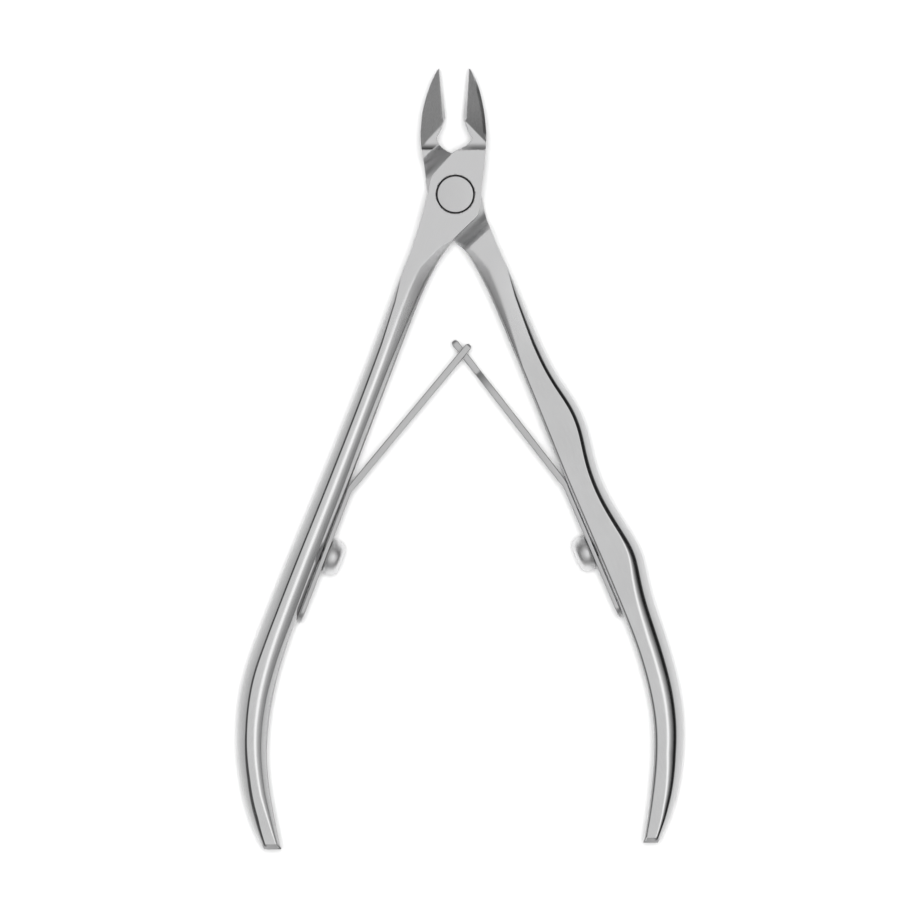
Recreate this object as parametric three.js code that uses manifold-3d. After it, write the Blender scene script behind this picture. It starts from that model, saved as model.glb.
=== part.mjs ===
// Cuticle nipper: two lapped steel halves turn on a flush rivet, and two leaf springs
// that cross and interlock at their tips push the handles apart.
//
// The tool lies flat, jaws towards +Y, handles towards -Y, thickness along +Z.
// The origin is on the rivet's axis, at the flat rear face of the joint.
// Millimetres and degrees.

import * as THREE from 'three';
import { mergeVertices } from 'three/addons/utils/BufferGeometryUtils.js';
import Module from 'manifold-3d';

const wasm = await Module();
wasm.setup();

// ---- driving dimensions ----

const JOINT_THICKNESS = 6.4;
const MID = JOINT_THICKNESS / 2;
const LAP_CLEARANCE = 0.1;
const CLOSING_ANGLE = 12.8;

// The lap recess is a straight milled slot with round-bottomed side walls.
const RECESS_HALF_WIDTH = 7.15;
const RECESS_WALL_RADIUS = 2.75;
const RECESS_ANGLE = 43;
const RELIEF_LIFT = 0.08;
const RELIEF_OVERTRAVEL = 0.6;

const RIVET_HEAD_RADIUS = 2.72;
const RIVET_HEAD_HEIGHT = 1.5;
const RIVET_SHANK_RADIUS = 1.72;
const RIVET_TAIL_RADIUS = 2.3;
const RIVET_TAIL_HEIGHT = 1;
const RIVET_RUNNING_GAP = 0.08;
const RIVET_HEAD_GAP = 0.2;

// Jaws: each face steps down beside the joint, then a flat facet is ground towards the
// tip, and a steep bevel makes the cutting edge at mid thickness.
const JAW_STEP_START = 6.7;
const JAW_STEP_END = 7.5;
const JAW_STEP_DEPTH = 0.6;
const FACET_SLOPE = 19.5;
const EDGE_BEVEL = 13;

// Handles: bars with a broad front and rear face, a wide chamfer along the outer side and
// a small round along the inner side. They get thinner towards their ends.
const HANDLE_TOP = -5.5;
const HANDLE_ROOT = -8;
const HANDLE_SHOULDER = -16;
const HANDLE_HALF_THICKNESS = 2.95;
const HANDLE_END_HALF_THICKNESS = 2.0;
const LEFT_HANDLE_END = -98.2;
const RIGHT_HANDLE_END = -97.2;
const HANDLE_THINNING_POWER = 1.6;
const RIM_AT_ROOT = 0.12;
const RIM_AT_SHOULDER = 0.9;
const RIM_FULL = 1.35;
const RIM_FULL_AT = -62;
const RIM_MAX_SHARE = 0.3;
const INNER_ROUND_SHARE = 0.5;
const HANDLE_STEPS = 64;
const SECTION_CORNERS = 12;

// Springs: a foot under a button-head screw, a bend, and a straight arm.
const SPRING_WIDTH = 4;
const SPRING_TIP_WIDTH = 3.2;
const FOOT_THICKNESS = 0.7;
const FOOT_GAP = 0.1;
const FOOT_TAIL = 10.9;
const ARM_THICKNESS = 1;
const BEND_GAP = 0.7;
const TONGUE_WIDTH = 1.1;
const FORK_SLOT_WIDTH = 1.7;
const INTERLOCK_LENGTH = 6.5;

const SCREW_HEAD_RADIUS = 2.7;
const SCREW_HEAD_HEIGHT = 2.3;
const SCREW_SHANK_RADIUS = 1.1;
const SCREW_SHANK_DEPTH = 3;
const SCREW_CLEARANCE = 0.2;
const SEAT_GAP = 0.03;

const ROUND_SEGMENTS = 48;
const SMALL_ROUND_SEGMENTS = 24;

// What differs between the two sides: side is +1 where the joint gap lies towards +X.
const LEFT = {
  side: 1,
  seat: [-20.0, -53.85],
  tilt: -20.96,
  bend: 10.5,
  armAngle: 18.7,
  armLength: 28.2,
};
const RIGHT = {
  side: -1,
  seat: [21.04, -53.2],
  tilt: 23.0,
  bend: 10.8,
  armAngle: 14.83,
  armLength: 27.3,
};

const LEFT_EDGE_ANGLE = -7.05;
const RIGHT_EDGE_ANGLE = 5.9;
const EDGE_HEEL_RADIUS = 11.6;
const EDGE_TIP_RADIUS = 19.2;

// ---- outlines, seen from the front ----

// The handles' outer and inner sides as points [x, y] from the joint down to the end.
const LEFT_OUTER = [
  [-4.26, -0.2], [-5.19, -3.8], [-6.63, -8.3], [-8.81, -13.7], [-14.28, -28.1], [-20.07, -42.5],
  [-26.04, -56.9], [-29.58, -65.9], [-31.95, -73.1], [-32.83, -81.5], [-32.1, -89.0],
  [-30.48, -94.7], [-28.7, -98.2],
];
const LEFT_INNER = [
  [-0.1, -6.5], [-0.66, -7.4], [-1.41, -8.3], [-2.58, -10.1], [-4.49, -13.7], [-5.94, -17.3],
  [-11.5, -31.7], [-15.66, -42.5], [-24.62, -65.9], [-27.2, -74.7], [-28.22, -82.5],
  [-27.9, -88.5], [-26.9, -94.2], [-26.1, -98.2],
];
const RIGHT_OUTER = [
  [4.01, -0.2], [4.79, -3.8], [6.56, -8.3], [8.25, -11.9], [12.11, -20.9], [14.2, -25.4],
  [15.83, -28.1], [18.35, -31.7], [19.8, -35.3], [20.55, -38.9], [21.68, -42.5], [23.43, -46.1],
  [25.68, -49.7], [27.89, -53.3], [28.67, -56.9], [29.55, -60.5], [31.97, -67.7],
  [33.78, -74.9], [34.31, -81.5], [33.6, -88.5], [32.1, -93.8], [30.4, -97.2],
];
const RIGHT_INNER = [
  [-0.2, -6.75], [0.38, -7.4], [1.37, -8.3], [2.61, -10.1], [4.55, -13.7], [6.15, -17.3],
  [12.11, -31.7], [16.5, -42.5], [25.67, -64.1], [28.14, -71.3], [29.63, -78.5],
  [29.75, -84.5], [29.1, -91.5], [28.2, -97.2],
];

const point = ([x, y]) => new THREE.Vector2(x, y);

// x as a smooth function of y through a side's points.
const sideOf = (points) => (y) => {
  const last = points.length - 1;
  let i = 0;
  while (i < last - 1 && points[i + 1][1] > y) {
    i += 1;
  }
  const slopeAt = (k) => {
    const before = points[Math.max(k - 1, 0)];
    const after = points[Math.min(k + 1, last)];
    return (after[0] - before[0]) / (after[1] - before[1]);
  };
  const [x0, y0] = points[i];
  const [x1, y1] = points[i + 1];
  const span = y1 - y0;
  const t = (y - y0) / span;
  const start = (1 + 2 * t) * (1 - t) ** 2 * x0 + t * (1 - t) ** 2 * span * slopeAt(i);
  const end = t * t * (3 - 2 * t) * x1 + t * t * (t - 1) * span * slopeAt(i + 1);
  return start + end;
};

const LEFT_HANDLE = { outer: sideOf(LEFT_OUTER), inner: sideOf(LEFT_INNER), end: LEFT_HANDLE_END };
const RIGHT_HANDLE = { outer: sideOf(RIGHT_OUTER), inner: sideOf(RIGHT_INNER), end: RIGHT_HANDLE_END };

const edgePoint = (angle, radius) => {
  const turn = THREE.MathUtils.degToRad(angle);
  return [radius * Math.sin(turn), radius * Math.cos(turn)];
};

// A run of points joined by a smooth curve, continuing from the shape's last point.
const curveThrough = (shape, points) => shape.splineThru(points.map(point));

const straightThrough = (shape, points) => {
  for (const [x, y] of points) {
    shape.lineTo(x, y);
  }
};

const rootPoints = (side, heights) => heights.map((y) => [side(y), y]);

// Front half's head: the right jaw, the front lap plate and the root of the left handle.
const frontHeadShape = () => {
  const heel = edgePoint(RIGHT_EDGE_ANGLE, EDGE_HEEL_RADIUS);
  const tip = edgePoint(RIGHT_EDGE_ANGLE, EDGE_TIP_RADIUS);
  const shape = new THREE.Shape();
  shape.moveTo(tip[0], tip[1]);
  straightThrough(shape, [heel, [1.85, 9.7]]);
  curveThrough(shape, [[2.5, 8.6], [2.3, 7.9], [1.5, 7.25], [0.4, 6.72], [-0.53, 6.14]]);
  straightThrough(shape, [[-3.0, 3.4]]);
  curveThrough(shape, [[-3.6, 2.4], [-4.04, 0.39], ...rootPoints(LEFT_HANDLE.outer, [-0.2, -3.8, HANDLE_ROOT])]);
  straightThrough(shape, [[LEFT_HANDLE.inner(HANDLE_ROOT), HANDLE_ROOT]]);
  curveThrough(shape, rootPoints(LEFT_HANDLE.inner, [-7.4, -6.7]));
  straightThrough(shape, [[2.9, -3.65]]);
  curveThrough(shape, [[3.47, -2.87], [3.84, -0.75], [3.95, 0.5], [4.14, 2.5], [4.46, 5.2], [4.64, 7.3]]);
  curveThrough(shape, [[4.65, 9.1], [4.29, 12.7], [3.45, 16.3], [tip[0] + 0.35, tip[1] - 0.25]]);
  return shape;
};

// Back half's head: the left jaw, the rear lap plate and the root of the right handle.
const backHeadShape = () => {
  const heel = edgePoint(LEFT_EDGE_ANGLE, EDGE_HEEL_RADIUS + 0.3);
  const tip = edgePoint(LEFT_EDGE_ANGLE, EDGE_TIP_RADIUS);
  const shape = new THREE.Shape();
  shape.moveTo(tip[0], tip[1]);
  curveThrough(shape, [[tip[0] - 0.4, tip[1] - 0.3], [-3.86, 16.3], [-4.89, 12.7], [-5.24, 9.1], [-5.19, 7.3]]);
  curveThrough(shape, [[-5.01, 6.1], [-4.68, 4.3], [-4.26, 0.7], [-3.84, -0.75], [-3.47, -2.87], [-2.9, -3.65]]);
  straightThrough(shape, rootPoints(RIGHT_HANDLE.inner, [-6.8]));
  curveThrough(shape, rootPoints(RIGHT_HANDLE.inner, [-7.4, HANDLE_ROOT]));
  straightThrough(shape, [[RIGHT_HANDLE.outer(HANDLE_ROOT), HANDLE_ROOT]]);
  curveThrough(shape, [...rootPoints(RIGHT_HANDLE.outer, [-3.8, -0.2]), [3.6, 2.4], [3.0, 3.4]]);
  straightThrough(shape, [[0.2, 6.2]]);
  curveThrough(shape, [[-0.75, 6.35], [-1.5, 6.72], [-2.35, 7.35], [-2.72, 8.0], [-2.8, 8.6], [-2.21, 9.7]]);
  straightThrough(shape, [heel]);
  return shape;
};

// ---- solids: joining and cutting closed meshes ----

const toSolid = (geometry) => {
  const bare = geometry.clone();
  bare.deleteAttribute('normal');
  bare.deleteAttribute('uv');
  const merged = mergeVertices(bare, 1e-4);
  const corners = merged.index.array;
  const triangles = [];
  for (let i = 0; i < corners.length; i += 3) {
    const [a, b, c] = corners.slice(i, i + 3);
    if (a !== b && b !== c && c !== a) {
      triangles.push(a, b, c);
    }
  }
  return new wasm.Manifold(new wasm.Mesh({
    numProp: 3,
    vertProperties: new Float32Array(merged.attributes.position.array),
    triVerts: new Uint32Array(triangles),
  }));
};

const toGeometry = (solid) => {
  const mesh = solid.getMesh();
  const geometry = new THREE.BufferGeometry();
  geometry.setAttribute('position', new THREE.BufferAttribute(mesh.vertProperties, 3));
  geometry.setIndex(new THREE.BufferAttribute(mesh.triVerts, 1));
  return geometry;
};

const vector = (x, y, z) => new THREE.Vector3(x, y, z);

// Moves a geometry into a frame given by its three axes and its origin.
const place = (geometry, xAxis, yAxis, zAxis, origin) => {
  const matrix = new THREE.Matrix4().makeBasis(xAxis, yAxis, zAxis);
  matrix.setPosition(origin);
  return geometry.applyMatrix4(matrix);
};

const slab = (shape, depth, curveSegments) => new THREE.ExtrudeGeometry(shape, {
  depth,
  curveSegments,
  bevelEnabled: false,
});

const polygon = (points) => new THREE.Shape(points.map(point));

// A prism along X whose section is drawn in Y and Z.
const sideProfileCut = (points) => {
  const width = 60;
  const prism = slab(polygon(points), width, 1);
  return place(prism, vector(0, 1, 0), vector(0, 0, 1), vector(1, 0, 0), vector(-width / 2, 0, 0));
};

const mirrorThickness = (points) => points.map(([y, z]) => [y, JOINT_THICKNESS - z]).reverse();

// ---- the lap joint ----

// The slot in which the other half's lap plate lies: a flat floor, and at each side a
// wall that curves up from it. It is cut from the front (face +1) or from behind (face -1).
const lapRecess = (face) => {
  const foot = RECESS_HALF_WIDTH - RECESS_WALL_RADIUS;
  const top = JOINT_THICKNESS;
  const profile = new THREE.Shape();
  profile.moveTo(-foot, 0);
  profile.absarc(foot, RECESS_WALL_RADIUS, RECESS_WALL_RADIUS, -Math.PI / 2, 0, false);
  profile.lineTo(RECESS_HALF_WIDTH, top);
  profile.lineTo(-RECESS_HALF_WIDTH, top);
  profile.absarc(-foot, RECESS_WALL_RADIUS, RECESS_WALL_RADIUS, Math.PI, Math.PI * 1.5, false);
  const length = 40;
  const slot = slab(profile, length, 10);
  const turn = THREE.MathUtils.degToRad(face > 0 ? RECESS_ANGLE : 180 - RECESS_ANGLE);
  const along = vector(Math.cos(turn), Math.sin(turn), 0);
  const up = vector(0, 0, face);
  const across = new THREE.Vector3().crossVectors(up, along);
  const floor = MID - face * LAP_CLEARANCE / 2;
  const start = along.clone().multiplyScalar(-length / 2).setZ(floor);
  return place(slot, across, up, along, start);
};

// The ramp from the joint's faces down to the jaw's faces.
const jawStepProfile = () => {
  const low = JOINT_THICKNESS - JAW_STEP_DEPTH;
  const middle = (JAW_STEP_START + JAW_STEP_END) / 2;
  return [
    [JAW_STEP_START, JOINT_THICKNESS + 1],
    [JAW_STEP_START, JOINT_THICKNESS],
    [middle - 0.1, JOINT_THICKNESS - 0.42],
    [JAW_STEP_END, low],
    [EDGE_TIP_RADIUS + 2, low],
    [EDGE_TIP_RADIUS + 2, JOINT_THICKNESS + 1],
  ];
};

// A block whose lower face is the ground facet of a jaw: it starts on the line from
// heel to rim and falls away from it. face -1 gives the facet on the rear side.
const jawFacet = (heelEnd, rimEnd, face) => {
  const size = 30;
  const start = vector(heelEnd[0], heelEnd[1], 0);
  const along = vector(rimEnd[0], rimEnd[1], 0).sub(start).normalize();
  const outward = vector(0, 0, 1).cross(along);
  if (outward.y < 0) {
    outward.negate();
  }
  const slope = THREE.MathUtils.degToRad(FACET_SLOPE);
  const fall = outward.multiplyScalar(Math.cos(slope)).add(vector(0, 0, -face * Math.sin(slope)));
  const lift = new THREE.Vector3().crossVectors(along, fall);
  if (lift.z * face < 0) {
    along.negate();
    lift.negate();
  }
  const block = new THREE.BoxGeometry(size, size, size);
  block.translate(0, size / 2, size / 2);
  const height = MID + face * (MID - JAW_STEP_DEPTH);
  return place(block, along, fall, lift, start.setZ(height));
};

// A block that leaves the steep bevel behind the cutting edge. inward is the direction
// from the jaw towards the other one.
const edgeBevel = (edgeAngle, inward, face) => {
  const size = 30;
  const turn = THREE.MathUtils.degToRad(edgeAngle);
  const along = vector(Math.sin(turn), Math.cos(turn), 0);
  const open = new THREE.Vector3().crossVectors(along, vector(0, 0, inward));
  const lean = THREE.MathUtils.degToRad(EDGE_BEVEL);
  const normal = open.multiplyScalar(Math.cos(lean)).add(vector(0, 0, face * Math.sin(lean)));
  const side = new THREE.Vector3().crossVectors(along, normal);
  const block = new THREE.BoxGeometry(size, size, size);
  block.translate(0, size / 2 + EDGE_HEEL_RADIUS - 0.4, size / 2);
  return place(block, side, along, normal, vector(0, 0, MID));
};

const rivetProfile = (gap, headGap) => {
  const tailSlant = (RIVET_TAIL_RADIUS - RIVET_SHANK_RADIUS) / RIVET_TAIL_HEIGHT;
  const under = gap > 0 ? -1 : 0;
  const over = JOINT_THICKNESS + (gap > 0 ? 1 : 0);
  const headSeat = JOINT_THICKNESS - RIVET_HEAD_HEIGHT - gap;
  return [
    [0, under],
    [RIVET_TAIL_RADIUS + gap - tailSlant * under, under],
    [RIVET_SHANK_RADIUS + gap, RIVET_TAIL_HEIGHT],
    [RIVET_SHANK_RADIUS + gap, headSeat],
    [RIVET_HEAD_RADIUS + headGap, headSeat],
    [RIVET_HEAD_RADIUS + headGap, over],
    [0, over],
  ];
};

const rivetGeometry = (gap, headGap) => {
  const lathe = new THREE.LatheGeometry(rivetProfile(gap, headGap).map(point), ROUND_SEGMENTS);
  return lathe.rotateX(Math.PI / 2);
};

// ---- handles ----

const smooth = (t) => {
  const u = THREE.MathUtils.clamp(t, 0, 1);
  return u * u * (3 - 2 * u);
};

const blend = (from, to, t) => from + (to - from) * t;

const halfThickness = (y, end) => {
  const shoulder = smooth((HANDLE_ROOT - y) / (HANDLE_ROOT - HANDLE_SHOULDER));
  const run = THREE.MathUtils.clamp((HANDLE_SHOULDER - y) / (HANDLE_SHOULDER - end), 0, 1);
  const thinning = (HANDLE_HALF_THICKNESS - HANDLE_END_HALF_THICKNESS) * run ** HANDLE_THINNING_POWER;
  return blend(MID, HANDLE_HALF_THICKNESS, shoulder) - thinning;
};

const rimWidth = (y, width) => {
  const early = smooth((HANDLE_ROOT - y) / (HANDLE_ROOT - HANDLE_SHOULDER));
  const late = smooth((HANDLE_SHOULDER - y) / (HANDLE_SHOULDER - RIM_FULL_AT));
  const rim = blend(RIM_AT_ROOT, RIM_AT_SHOULDER, early) + (RIM_FULL - RIM_AT_SHOULDER) * late;
  return Math.min(rim, width * RIM_MAX_SHARE);
};

// Corners of the handle's section in turn: [distance from the outer side, height above
// mid thickness].
const handleSection = (y, width, end) => {
  const high = halfThickness(y, end);
  const rim = rimWidth(y, width);
  const round = rim * INNER_ROUND_SHARE;
  const half = [
    [0, high - 1.6 * rim],
    [0.35 * rim, high - 0.7 * rim],
    [rim, high],
    [width - round, high],
    [width - 0.3 * round, high - 0.4 * round],
    [width, high - 1.4 * round],
  ];
  const mirrored = half.map(([depth, height]) => [depth, -height]).reverse();
  return [...half, ...mirrored];
};

// A bar whose section is worked out at each height: the rings of a cylinder are moved
// onto the sections.
const handleGeometry = (handle) => {
  const bar = new THREE.CylinderGeometry(1, 1, 1, SECTION_CORNERS, HANDLE_STEPS);
  const position = bar.attributes.position;
  for (let i = 0; i < position.count; i += 1) {
    const y = blend(HANDLE_TOP, handle.end, 0.5 - position.getY(i));
    const outer = handle.outer(y);
    const width = handle.inner(y) - outer;
    const onAxis = Math.hypot(position.getX(i), position.getZ(i)) < 0.5;
    const turn = Math.sign(width) * Math.atan2(position.getX(i), position.getZ(i)) / (Math.PI * 2);
    const corner = (Math.round(turn * SECTION_CORNERS) + SECTION_CORNERS) % SECTION_CORNERS;
    const section = handleSection(y, Math.abs(width), handle.end);
    const [depth, height] = onAxis ? [Math.abs(width) / 2, 0] : section[corner];
    position.setXYZ(i, outer + Math.sign(width) * depth, y, MID + height);
  }
  return bar;
};

// ---- spring seats ----

// Each spring and its screw stand in a frame on the handle's inner side: Y runs up the
// handle, X across it, and side * X points into the gap between the handles.
const seatGroup = (spec) => {
  const group = new THREE.Group();
  group.position.set(spec.seat[0], spec.seat[1], MID);
  group.rotation.z = THREE.MathUtils.degToRad(spec.tilt);
  group.updateMatrixWorld(true);
  return group;
};

const screwBore = (spec) => {
  const radius = SCREW_SHANK_RADIUS + SCREW_CLEARANCE;
  const depth = SCREW_SHANK_DEPTH + SCREW_CLEARANCE;
  const bore = new THREE.CylinderGeometry(radius, radius, depth + 1, SMALL_ROUND_SEGMENTS);
  bore.rotateZ(Math.PI / 2);
  bore.translate(spec.side * (1 - depth) / 2, 0, 0);
  return bore.applyMatrix4(seatGroup(spec).matrixWorld);
};

// ---- the two halves ----

const buildHalf = ({ headShape, handle, recess, cutters }) => {
  const step = jawStepProfile();
  let solid = toSolid(slab(headShape, JOINT_THICKNESS, 4));
  solid = solid.subtract(toSolid(sideProfileCut(step)));
  solid = solid.subtract(toSolid(sideProfileCut(mirrorThickness(step))));
  solid = solid.add(toSolid(handleGeometry(handle)));
  solid = solid.subtract(toSolid(recess));
  for (const cutter of cutters) {
    solid = solid.subtract(toSolid(cutter));
  }
  return solid.subtract(toSolid(rivetGeometry(RIVET_RUNNING_GAP, RIVET_HEAD_GAP)));
};

const bothFaces = (make) => [make(1), make(-1)];

const backSolid = buildHalf({
  headShape: backHeadShape(),
  handle: RIGHT_HANDLE,
  recess: lapRecess(1),
  cutters: [
    ...bothFaces((face) => jawFacet([-1.55, 10.9], [-5.0, 7.2], face)),
    ...bothFaces((face) => edgeBevel(LEFT_EDGE_ANGLE, 1, face)),
    screwBore(RIGHT),
  ],
});

const frontSolidUnrelieved = buildHalf({
  headShape: frontHeadShape(),
  handle: LEFT_HANDLE,
  recess: lapRecess(-1),
  cutters: [
    ...bothFaces((face) => jawFacet([1.6, 10.8], [4.6, 7.7], face)),
    ...bothFaces((face) => edgeBevel(RIGHT_EDGE_ANGLE, -1, face)),
    screwBore(LEFT),
  ],
});

// Where the closed back half's recess walls would bite into the front half, it is relieved.
const relieve = (solid, mate) => {
  let relieved = solid;
  for (const angle of [CLOSING_ANGLE, CLOSING_ANGLE + RELIEF_OVERTRAVEL]) {
    for (const lift of [-RELIEF_LIFT, RELIEF_LIFT]) {
      relieved = relieved.subtract(mate.rotate([0, 0, -angle]).translate([0, 0, lift]));
    }
  }
  return relieved;
};

// ---- springs and screws ----

// A spring leaf drawn flat (x along the leaf, y across it) and stood up so that its
// length is Y, its width is Z and its thickness is X, centred on the middle of the leaf.
const leafGeometry = (shape, thickness) => {
  const leaf = slab(shape, thickness, 8);
  return place(leaf, vector(0, 1, 0), vector(0, 0, 1), vector(1, 0, 0), vector(-thickness / 2, 0, 0));
};

const footShape = (spec) => {
  const half = SPRING_WIDTH / 2;
  const top = spec.bend - BEND_GAP;
  const shape = new THREE.Shape();
  shape.moveTo(top, half);
  shape.lineTo(half - FOOT_TAIL, half);
  shape.absarc(half - FOOT_TAIL, 0, half, Math.PI / 2, Math.PI * 1.5, false);
  shape.lineTo(top, -half);
  const hole = new THREE.Path();
  hole.absarc(0, 0, SCREW_SHANK_RADIUS + SCREW_CLEARANCE, 0, Math.PI * 2, true);
  shape.holes.push(hole);
  return shape;
};

// The left arm ends in a fork, whose slot the right arm's tongue passes through.
const forkArmShape = (length) => {
  const half = SPRING_WIDTH / 2;
  const tip = SPRING_TIP_WIDTH / 2;
  const slot = FORK_SLOT_WIDTH / 2;
  const slotStart = length - INTERLOCK_LENGTH;
  const prongRadius = (tip - slot) / 2;
  const prongEnd = length - prongRadius;
  const shape = new THREE.Shape();
  shape.moveTo(BEND_GAP, -half);
  shape.lineTo(prongEnd, -tip);
  shape.absarc(prongEnd, -(tip + slot) / 2, prongRadius, -Math.PI / 2, Math.PI / 2, false);
  shape.lineTo(slotStart, -slot);
  shape.absarc(slotStart, 0, slot, -Math.PI / 2, -Math.PI * 1.5, true);
  shape.lineTo(prongEnd, slot);
  shape.absarc(prongEnd, (tip + slot) / 2, prongRadius, -Math.PI / 2, Math.PI / 2, false);
  shape.lineTo(BEND_GAP, half);
  return shape;
};

const tongueArmShape = (length) => {
  const half = SPRING_WIDTH / 2;
  const shoulder = SPRING_TIP_WIDTH / 2;
  const tongue = TONGUE_WIDTH / 2;
  const neck = length - INTERLOCK_LENGTH;
  const shape = new THREE.Shape();
  shape.moveTo(BEND_GAP, -half);
  shape.lineTo(neck - 1, -shoulder);
  shape.quadraticCurveTo(neck, -shoulder, neck + 0.4, -tongue);
  shape.lineTo(length - tongue, -tongue);
  shape.absarc(length - tongue, 0, tongue, -Math.PI / 2, Math.PI / 2, false);
  shape.lineTo(neck + 0.4, tongue);
  shape.quadraticCurveTo(neck, shoulder, neck - 1, shoulder);
  shape.lineTo(BEND_GAP, half);
  return shape;
};

// Button head with a rounded rim and a shallow dome, on a plain shank.
const screwGeometry = (spec) => {
  const seat = FOOT_GAP + FOOT_THICKNESS + SEAT_GAP;
  const profile = new THREE.Path();
  profile.moveTo(0, -SCREW_SHANK_DEPTH);
  profile.lineTo(SCREW_SHANK_RADIUS, -SCREW_SHANK_DEPTH);
  profile.lineTo(SCREW_SHANK_RADIUS, seat);
  profile.lineTo(SCREW_HEAD_RADIUS - 0.2, seat);
  profile.quadraticCurveTo(SCREW_HEAD_RADIUS + 0.1, seat + 0.6, SCREW_HEAD_RADIUS - 0.15, seat + 1.2);
  profile.quadraticCurveTo(SCREW_HEAD_RADIUS - 0.5, seat + 2, 1.2, seat + SCREW_HEAD_HEIGHT - 0.1);
  profile.quadraticCurveTo(0.6, seat + SCREW_HEAD_HEIGHT, 0, seat + SCREW_HEAD_HEIGHT);
  const head = new THREE.LatheGeometry(profile.getPoints(5), SMALL_ROUND_SEGMENTS);
  return head.rotateZ(-spec.side * Math.PI / 2);
};

// ---- named parts ----

const steel = (color, roughness) => new THREE.MeshStandardMaterial({ color, roughness, metalness: 1 });

const part = (name, geometry, material) => {
  const mesh = new THREE.Mesh(geometry, material);
  mesh.name = name;
  return mesh;
};

const springAssembly = (label, spec, armShape) => {
  const seat = seatGroup(spec);
  const middle = FOOT_GAP + FOOT_THICKNESS / 2;
  const footLeaf = leafGeometry(footShape(spec), FOOT_THICKNESS);
  const foot = part(`${label}_spring_foot`, footLeaf, steel(0xb4b4b4, 0.3));
  foot.position.x = spec.side * middle;
  const bend = new THREE.Group();
  bend.position.set(spec.side * middle, spec.bend, 0);
  bend.rotation.z = -spec.side * THREE.MathUtils.degToRad(spec.armAngle);
  const armLeaf = leafGeometry(armShape, ARM_THICKNESS);
  bend.add(part(`${label}_spring_arm`, armLeaf, steel(0xb8b8b8, 0.3)));
  const screw = part(`${label}_spring_screw`, screwGeometry(spec), steel(0xc2c2c2, 0.25));
  seat.add(foot, bend, screw);
  return seat;
};

const nipper = new THREE.Group();
nipper.add(
  part('front_half', toGeometry(relieve(frontSolidUnrelieved, backSolid)), steel(0xc8c8c8, 0.3)),
  part('back_half', toGeometry(backSolid), steel(0xc4c4c4, 0.3)),
  part('pivot_rivet', rivetGeometry(0, 0), steel(0xc6c6c6, 0.35)),
  springAssembly('left', LEFT, forkArmShape(LEFT.armLength)),
  springAssembly('right', RIGHT, tongueArmShape(RIGHT.armLength)),
);

export default nipper;
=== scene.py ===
"""Cuticle nipper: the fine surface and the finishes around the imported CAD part.

Lengths are millimetres in the CAD frame until a mesh is made, which turns them into metres.
Jaws point towards +Y, handles towards -Y, and the front faces +Z.
"""

import math

import bpy
import numpy as np
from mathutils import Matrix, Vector
from mathutils.geometry import delaunay_2d_cdt


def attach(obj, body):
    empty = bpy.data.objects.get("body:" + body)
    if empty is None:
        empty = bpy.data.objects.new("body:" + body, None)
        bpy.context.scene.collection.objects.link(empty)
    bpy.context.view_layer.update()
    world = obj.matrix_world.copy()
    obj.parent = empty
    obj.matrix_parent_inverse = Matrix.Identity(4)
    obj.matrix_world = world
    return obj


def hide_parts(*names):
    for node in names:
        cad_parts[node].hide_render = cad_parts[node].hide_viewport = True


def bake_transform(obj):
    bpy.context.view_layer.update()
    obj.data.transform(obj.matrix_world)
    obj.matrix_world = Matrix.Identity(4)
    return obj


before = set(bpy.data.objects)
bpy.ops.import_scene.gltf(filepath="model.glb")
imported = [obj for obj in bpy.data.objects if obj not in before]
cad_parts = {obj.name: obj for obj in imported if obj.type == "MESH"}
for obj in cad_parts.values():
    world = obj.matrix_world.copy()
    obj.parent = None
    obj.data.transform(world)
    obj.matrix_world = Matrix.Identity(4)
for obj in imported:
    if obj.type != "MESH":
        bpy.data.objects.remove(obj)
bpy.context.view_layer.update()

MM = 0.001

# ---- dimensions shared with the CAD part ----

JOINT_THICKNESS = 6.4
MID = JOINT_THICKNESS / 2
LAP_CLEARANCE = 0.1
CLOSING_ANGLE = 12.8
OPENING_ANGLE = -3.0

RECESS_FOOT = 4.28
RECESS_WALL_RADIUS = 2.5
RECESS_WALL_STEEPEST = 72
RECESS_RIDGE = 7.15
RECESS_ANGLE = 43
RELIEF_GAP = 0.07
RELIEF_OVERTRAVEL = 0.6
RELIEF_RAMP = 4

RIVET_HEAD_RADIUS = 2.72
RIVET_HEAD_HEIGHT = 1.5
RIVET_SHANK_RADIUS = 1.72
RIVET_TAIL_RADIUS = 2.3
RIVET_TAIL_HEIGHT = 1
RIVET_RUNNING_GAP = 0.08
RIVET_HEAD_GAP = 0.17

JAW_STEP_START = 6.7
JAW_STEP_END = 7.9
JAW_STEP_DEPTH = 0.6
JAW_STEP_LIP = 0.24
JAW_STEP_WALL = 0.035
FACET_SLOPE = 19.5
BEFORE_FACET = 4.0
EDGE_BEVEL = 13
EDGE_LAND = 0.03
HEEL_RAMP = 2.2
LEFT_EDGE_ANGLE = -7.05
RIGHT_EDGE_ANGLE = 5.9
EDGE_HEEL_RADIUS = 11.6
EDGE_TIP_RADIUS = 19.2
JAW_BACK_STRIP = 0.42

HANDLE_ROOT = -8
HANDLE_JOIN = -10.5
HANDLE_SHOULDER = -16
HANDLE_HALF_THICKNESS = 2.95
HANDLE_END_HALF_THICKNESS = 2.0
HANDLE_THINNING_POWER = 1.6
LEFT_HANDLE_END = -98.2
RIGHT_HANDLE_END = -97.2

SPRING_WIDTH = 4
SPRING_TIP_WIDTH = 3.2
FOOT_THICKNESS = 0.7
FOOT_GAP = 0.1
FOOT_TAIL = 10.9
ARM_THICKNESS = 1
TONGUE_WIDTH = 1.1
FORK_SLOT_WIDTH = 1.7
INTERLOCK_LENGTH = 6.5
NECK = 4.2

SCREW_HEAD_RADIUS = 2.7
SCREW_HEAD_HEIGHT = 2.3
SCREW_SHANK_RADIUS = 1.1
SCREW_SHANK_DEPTH = 3
SEAT_GAP = 0.03

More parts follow.
